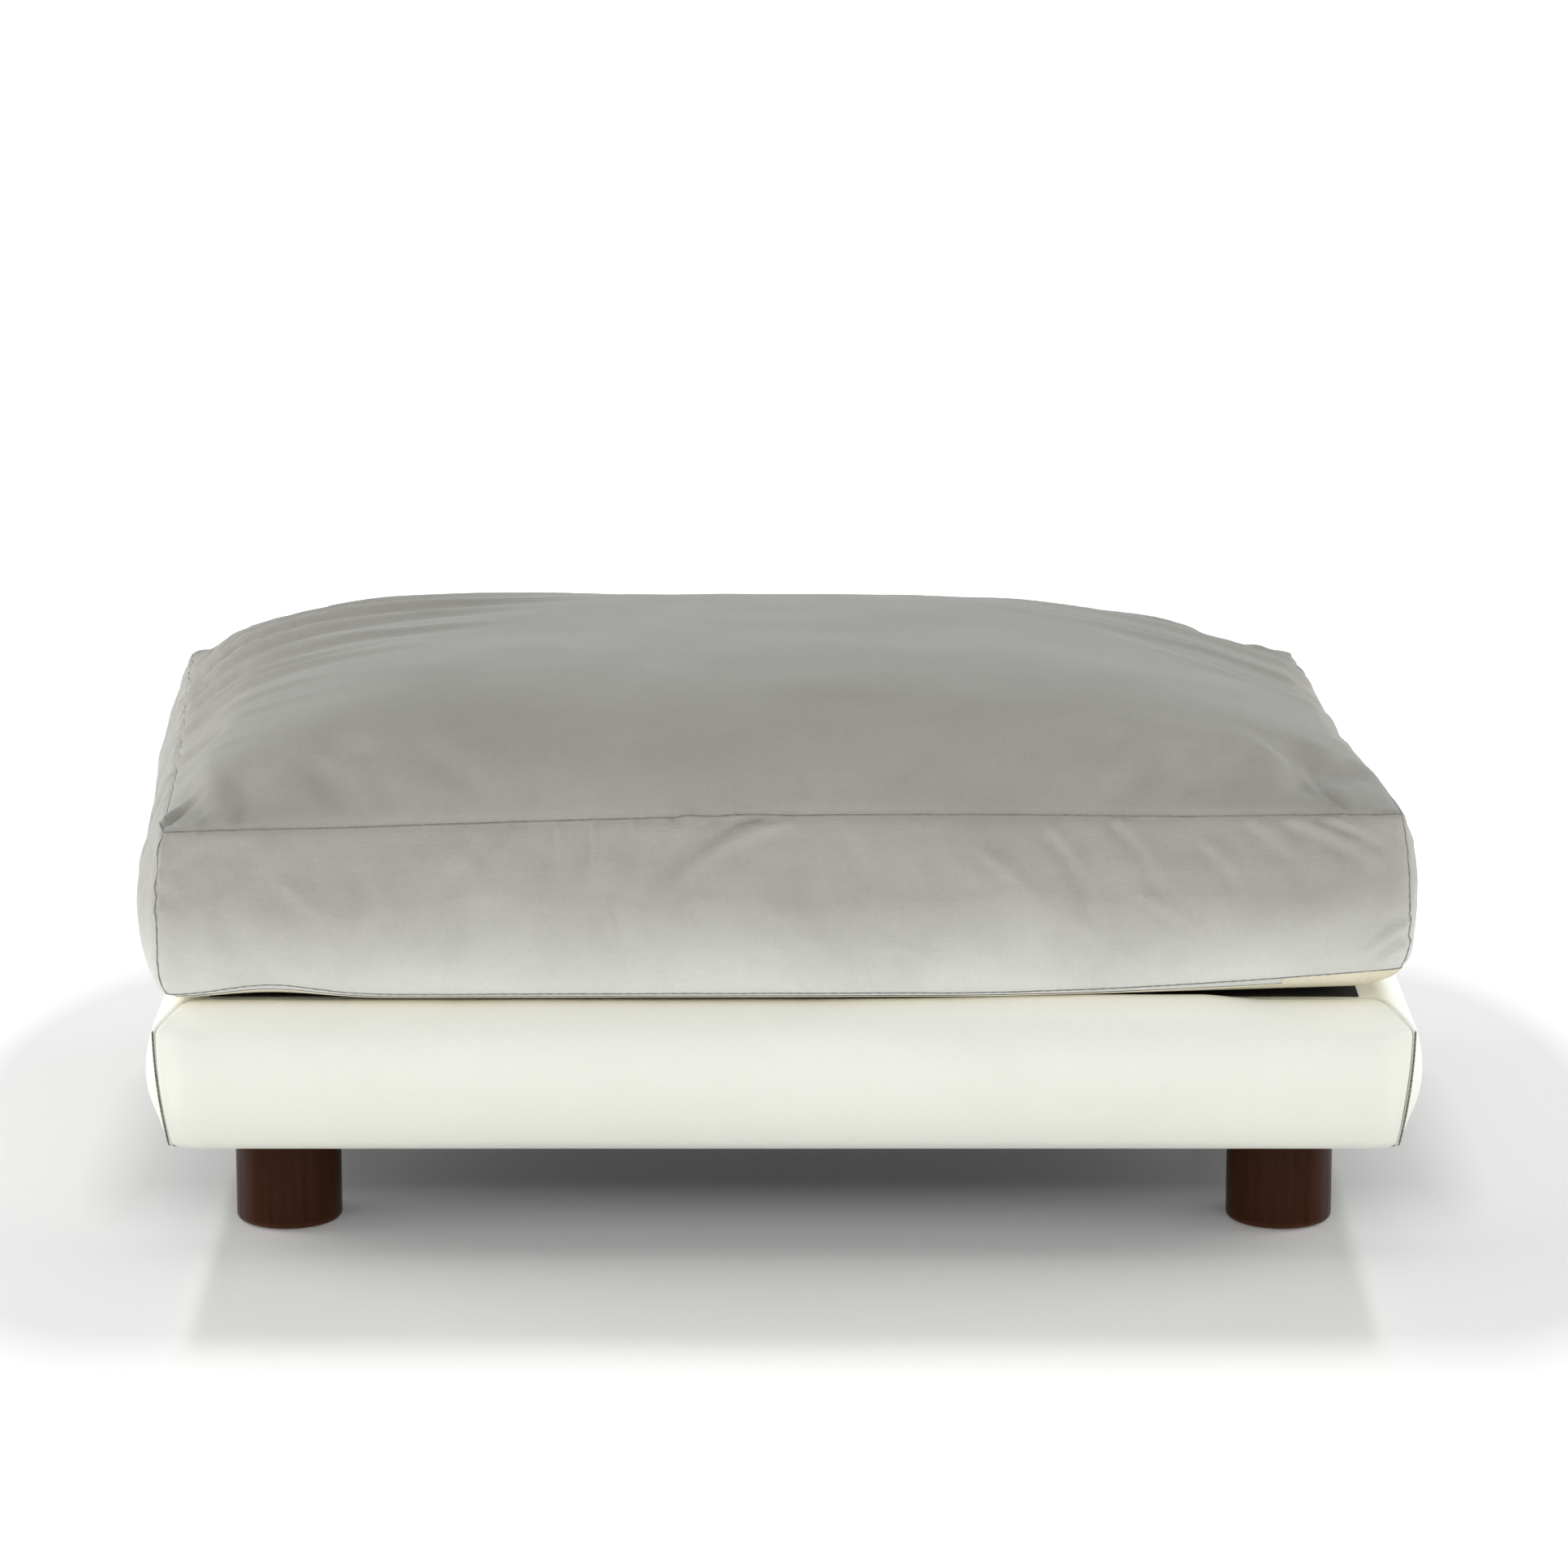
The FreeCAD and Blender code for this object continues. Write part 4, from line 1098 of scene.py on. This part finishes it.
def makeCornerSeams():
    # waxed thread down each corner seam, sunk between the two rolled edges
    section = sideSection(base["endBulge"])
    edge = baseCrest - base["crestRise"]
    upright = (section[:, 1] > baseLow + 2 * mm) & (section[:, 1] < edge + 1 * mm)
    face = section[upright & (section[:, 0] < base["crestIn"])]
    for corner in corners:
        sx = -1 if corner.endswith("left") else 1
        sy = -1 if corner.startswith("front") else 1
        bpy.ops.object.select_all(action="DESELECT")
        bpy.ops.mesh.primitive_cylinder_add(vertices=8, radius=base["threadRadius"], depth=1)
        seam = named(bpy.context.active_object, "corner_seam_" + corner)
        cutAcross(seam, 2, 60)
        points = pointsOf(seam)
        share = np.clip(points[:, 2] + 0.5, 0, 1)
        middle = alongLine(face, share)
        inset = middle[:, 0] + base["threadIn"]
        twist = 1 + 0.18 * np.sin(share * 150)
        places = np.stack((
            sx * (baseHalf["x"] - inset) + points[:, 0] * twist,
            sy * (baseHalf["y"] - inset) + points[:, 1] * twist,
            middle[:, 1],
        ), axis=1)
        setPoints(seam, places)
        finishOf(smoothed(seam, 60), waxedThread)
        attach(seam, "base")


def makeLeather():
    for side in sides:
        makeSideFoam(side)
        panel, cut = makePanel(side, side + "_leather")
        finishOf(panel, finishes["faux_leather"])
        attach(panel, "base")
        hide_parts(side + "_cover")


def clothGrid(name, halfX, halfY, cell):
    cloth = newGrid(name, round(2 * halfX / cell), round(2 * halfY / cell))
    grid = pointsOf(cloth) * (2 * halfX, 2 * halfY, 0)
    setPoints(cloth, grid)
    keepCut(cloth, grid)
    return cloth, grid


def makeDeckCloth():
    # dark cloth over the deck panel, stepping up over the leather's lap
    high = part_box("deck_cloth")[1]
    cloth, places = clothGrid("deck_cloth_sheet", high.x, high.y, 6 * mm)
    inset = np.minimum(baseHalf["x"] - np.abs(places[:, 0]), baseHalf["y"] - np.abs(places[:, 1]))
    step = np.clip((inset - base["lapIn"]) / (5 * mm), 0, 1)
    edge = np.clip((inset - 33 * mm) / (12 * mm), 0, 1)
    places[:, 2] = clothTop - 1.1 * mm * step + ripple(places, 45 * mm, 7) * 0.35 * mm * edge
    setPoints(cloth, places)
    applied(cloth, "SOLIDIFY", thickness=0.6 * mm, offset=-1)
    finishOf(smoothed(cloth, 60), finishes["dark_cloth"])
    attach(cloth, "base")
    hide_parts("deck_cloth")


def makeDustCover():
    # thin cloth under the base, stapled round its edge, slack between, cut round each foot bolt
    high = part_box("dust_cover")[1]
    bolts = [sum(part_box("hanger_bolt_" + corner), Vector()) / 2 for corner in corners]
    cloth, places = clothGrid("dust_cover_sheet", high.x, high.y, 7 * mm)
    for middle in bolts:
        away = places[:, :2] - (middle.x, middle.y)
        far = np.linalg.norm(away, axis=1)
        hole = 5.6 * mm
        push = np.clip(1 - (far - hole) / (14 * mm), 0, 1) * hole * 0.9
        places[:, :2] += away / np.maximum(far, 1e-6)[:, None] * np.where(far < 18 * mm, push, 0)[:, None]
    setPoints(cloth, places)
    trimAway(cloth, [
        min((face.center.xy - middle.xy).length for middle in bolts) < 6 * mm for face in cloth.data.polygons
    ])
    places = pointsOf(cloth)
    inset = np.minimum(high.x - np.abs(places[:, 0]), high.y - np.abs(places[:, 1]))
    sag = np.clip((inset - 22 * mm) / (50 * mm), 0, 1)
    crimp = ripple(places, 26 * mm, 5) * 0.35 * mm * np.clip(1 - inset / (40 * mm), 0, 1)
    for middle in bolts:
        far = np.linalg.norm(places[:, :2] - (middle.x, middle.y), axis=1)
        sag *= np.clip((far - 16 * mm) / (40 * mm), 0, 1)
    places[:, 2] = high.z - 0.15 * mm - sag * (1.6 * mm + ripple(places, 90 * mm, 8) * 0.9 * mm)
    places[:, 2] -= np.abs(crimp) * (inset > 3 * mm) * sag
    setPoints(cloth, places)
    applied(cloth, "SOLIDIFY", thickness=0.35 * mm, offset=-1)
    finishOf(smoothed(cloth, 60), finishes["dark_cloth"])
    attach(cloth, "base")
    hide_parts("dust_cover")


makeLeather()
makeCornerSeams()
makeDeckCloth()
makeDustCover()
print("base upholstered")


# zip: woven tape, two rows of teeth that mesh, a stop at each end
zipSizes = {
    "pitch": 1.9 * mm,
    "toothWide": 1.15 * mm,
    "toothHigh": 2.3 * mm,
    "toothDeep": 1.5 * mm,
    "mesh": 0.35 * mm,           # the two rows reach past the middle by this much
    "stitchStep": 3.4 * mm,
    "stitchIn": 1.4 * mm,
}


def makeTape():
    low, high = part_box("zip_tape")
    tape = newGrid("zip_tape_cloth", 280, 12)
    grid = pointsOf(tape)
    x = grid[:, 0] * (high.x - low.x)
    up = grid[:, 1]
    z = (low.z + high.z) / 2 + up * (high.z - low.z)
    # ribbed beside the teeth, eased at its edges, a little wavy from the sewing
    rib = 0.12 * mm * np.cos(up * 2 * math.pi * 6)
    y = high.y - 0.25 * mm + rib - 0.3 * mm * (2 * np.abs(up)) ** 6
    y += ripple(np.stack((x, 0 * x, z), axis=1), 30 * mm, 2) * 0.12 * mm
    setPoints(tape, np.stack((x, y, z), axis=1))
    agreeNormals(tape)
    if tape.data.polygons[0].normal.y < 0:
        tape.data.flip_normals()
    applied(tape, "SOLIDIFY", thickness=0.5 * mm, offset=-1)
    finishOf(smoothed(tape, 50), finishes["zip_cloth"])
    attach(tape, "cushion")
    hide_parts("zip_tape")


def makeTooth(place, sign):
    # one coil turn: a rounded bar that leans, thicker at its meshing end
    tooth = newBox(place, (zipSizes["toothWide"], zipSizes["toothDeep"], zipSizes["toothHigh"]))
    editOnly(tooth, "FACE", [face.normal.z * sign < -0.9 for face in tooth.data.polygons])
    bpy.ops.transform.resize(value=(1.3, 0.8, 1))
    backToObject()
    easeEdges(tooth, 0.28 * mm)
    return tooth


def makeTeeth():
    low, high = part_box("zip_coils")
    middle = (low.z + high.z) / 2
    y = low.y + zipSizes["toothDeep"] / 2 + 0.05 * mm
    count = int((high.x - low.x - 2 * mm) / zipSizes["pitch"])
    rows = []
    for sign, start in ((-1, 0.75 * mm), (1, 1.7 * mm)):
        z = middle + sign * (zipSizes["toothHigh"] / 2 - zipSizes["mesh"])
        tooth = makeTooth((low.x + start, y, z), sign)
        rows.append(repeated(tooth, zipSizes["pitch"], count))
    teeth = joined(rows, "zip_teeth")
    finishOf(smoothed(teeth, 50), finishes["zip_nylon"])
    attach(teeth, "cushion")
    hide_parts("zip_coils")


def makeZipStitches():
    # two sewn lines hold the tape in the boxing
    low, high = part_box("zip_tape")
    count = int((high.x - low.x - 6 * mm) / zipSizes["stitchStep"])
    lines = []
    for z in (low.z + zipSizes["stitchIn"], high.z - zipSizes["stitchIn"]):
        stitch = newBox((low.x + 3 * mm, high.y - 0.1 * mm, z), (2.6 * mm, 0.5 * mm, 0.5 * mm))
        easeEdges(stitch, 0.16 * mm)
        lines.append(repeated(stitch, zipSizes["stitchStep"], count))
    stitches = joined(lines, "zip_stitching")
    finishOf(smoothed(stitches, 50), thread)
    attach(stitches, "cushion")


makeTape()
makeTeeth()
makeZipStitches()
print("zip made")


# stage: pale glossy floor, soft boxes and the camera
stage = {
    "floorSize": 14.0,
    "floorColour": (0.80, 0.805, 0.795),
    "nearGlow": 0.14,
    "farGlow": 0.72,
    "horizon": 1.38,             # light from all round, falling off towards overhead
    "overhead": 0.05,
    "topSoftbox": 17,
    "leftSoftbox": 36,
    "rightSoftbox": 28,
    "strips": 1.8,               # two narrow lights that streak the lacquered feet
    "frontFill": 19,
    "lowBounce": 8,
    "lens": 137.9,
    "cameraPlace": (0, -3.7335, 1.1102),
    "cameraTilt": 76.8,
}


def makeFloor():
    bpy.ops.object.select_all(action="DESELECT")
    bpy.ops.mesh.primitive_plane_add(size=stage["floorSize"], location=(0, 0, 0))
    floor = named(bpy.context.active_object, "studio_floor")
    material, tree, shader = newFinish("pale glossy floor")
    smudge = grains(tree, placeOn(tree), 3, 4)
    shader.inputs["Base Color"].default_value = (*stage["floorColour"], 1)
    wire(tree, spreadOver(tree, smudge, 0.11, 0.17), shader.inputs["Roughness"])
    shader.inputs["Specular IOR Level"].default_value = 1.0
    # painted light: the floor glows away from the bed, so that it runs out into the white surround; close to
    # the bed a weaker glow lightens its shadow
    reach = placeOn(tree)
    for how, value in (("ABSOLUTE", None), ("SUBTRACT", (0.40, 0.10, 0)), ("MAXIMUM", (0, 0, 0)),
                       ("MULTIPLY", (2.4, 1, 0))):
        step = tree.nodes.new("ShaderNodeVectorMath")
        step.operation = how
        tree.links.new(reach, step.inputs[0])
        if value:
            step.inputs[1].default_value = value
        reach = step.outputs["Vector"]
    away = tree.nodes.new("ShaderNodeVectorMath")
    away.operation = "LENGTH"
    tree.links.new(reach, away.inputs[0])
    # painted light that lightens the bed's shadow on the floor
    nearGlow = spreadOver(tree, away.outputs["Value"], 0.0, stage["nearGlow"], 0.0, 0.11)
    farGlow = spreadOver(tree, away.outputs["Value"], 0.0, stage["farGlow"], 0.30, 0.60)
    glow = sums(tree, nearGlow, farGlow)
    shader.inputs["Emission Color"].default_value = (1, 1, 1, 1)
    tree.links.new(glow, shader.inputs["Emission Strength"])
    finishOf(floor, material)


def softbox(name, place, aim, size, power):
    lamp = bpy.data.lights.new(name, "AREA")
    lamp.shape = "RECTANGLE"
    lamp.size, lamp.size_y = size
    lamp.energy = power
    box = bpy.data.objects.new(name, lamp)
    scene.collection.objects.link(box)
    box.location = place
    box.rotation_euler = (Vector(aim) - Vector(place)).to_track_quat("-Z", "Y").to_euler()


def makeLight():
    world = bpy.data.worlds.new("white surround")
    scene.world = world
    world.use_nodes = True
    tree = world.node_tree
    tree.nodes.clear()
    out = tree.nodes.new("ShaderNodeOutputWorld")
    seen = tree.nodes.new("ShaderNodeBackground")
    seen.inputs["Color"].default_value = (1, 1, 1, 1)
    seen.inputs["Strength"].default_value = 1.05
    lit = tree.nodes.new("ShaderNodeBackground")
    lit.inputs["Color"].default_value = (0.98, 0.99, 1.0, 1)
    up = tree.nodes.new("ShaderNodeSeparateXYZ")
    tree.links.new(tree.nodes.new("ShaderNodeTexCoord").outputs["Generated"], up.inputs[0])
    fall = spreadOver(tree, up.outputs["Z"], stage["horizon"], stage["overhead"], 0.02, 0.6)
    tree.links.new(fall, lit.inputs["Strength"])
    which = tree.nodes.new("ShaderNodeMixShader")
    ray = tree.nodes.new("ShaderNodeLightPath")
    tree.links.new(ray.outputs["Is Camera Ray"], which.inputs["Fac"])
    tree.links.new(lit.outputs[0], which.inputs[1])
    tree.links.new(seen.outputs[0], which.inputs[2])
    tree.links.new(which.outputs[0], out.inputs["Surface"])
    for name, place, aim, size, power in (
        ("top softbox", (0, 0.35, 2.6), (0, 0, 0.2), (2.6, 1.8), "topSoftbox"),
        ("left softbox", (-2.3, 0.25, 1.1), (0, 0, 0.2), (1.6, 1.8), "leftSoftbox"),
        ("right softbox", (2.3, 0.25, 1.1), (0, 0, 0.2), (1.6, 1.8), "rightSoftbox"),
        ("front fill", (0.4, -3.2, 2.2), (0, 0, 0.2), (2.4, 1.2), "frontFill"),
        ("left strip", (-1.55, -2.7, 0.8), (-0.1, -0.2, 0.1), (0.22, 1.3), "strips"),
        ("right strip", (1.25, -2.9, 0.8), (0.1, -0.2, 0.1), (0.22, 1.3), "strips"),
        ("low bounce", (0, -1.6, 0.02), (0, -0.25, 0.22), (2.2, 0.5), "lowBounce"),
    ):
        softbox(name, place, aim, size, stage[power])


def makeCamera():
    lens = bpy.data.cameras.new("camera")
    lens.lens = stage["lens"]
    lens.sensor_width = 36
    lens.clip_start = 0.05
    lens.clip_end = 60
    camera = bpy.data.objects.new("camera", lens)
    scene.collection.objects.link(camera)
    camera.location = stage["cameraPlace"]
    camera.rotation_euler = (math.radians(stage["cameraTilt"]), 0, 0)
    scene.camera = camera


makeFloor()
makeLight()
makeCamera()
scene.view_settings.view_transform = "Standard"
scene.view_settings.look = "None"
print("stage made")
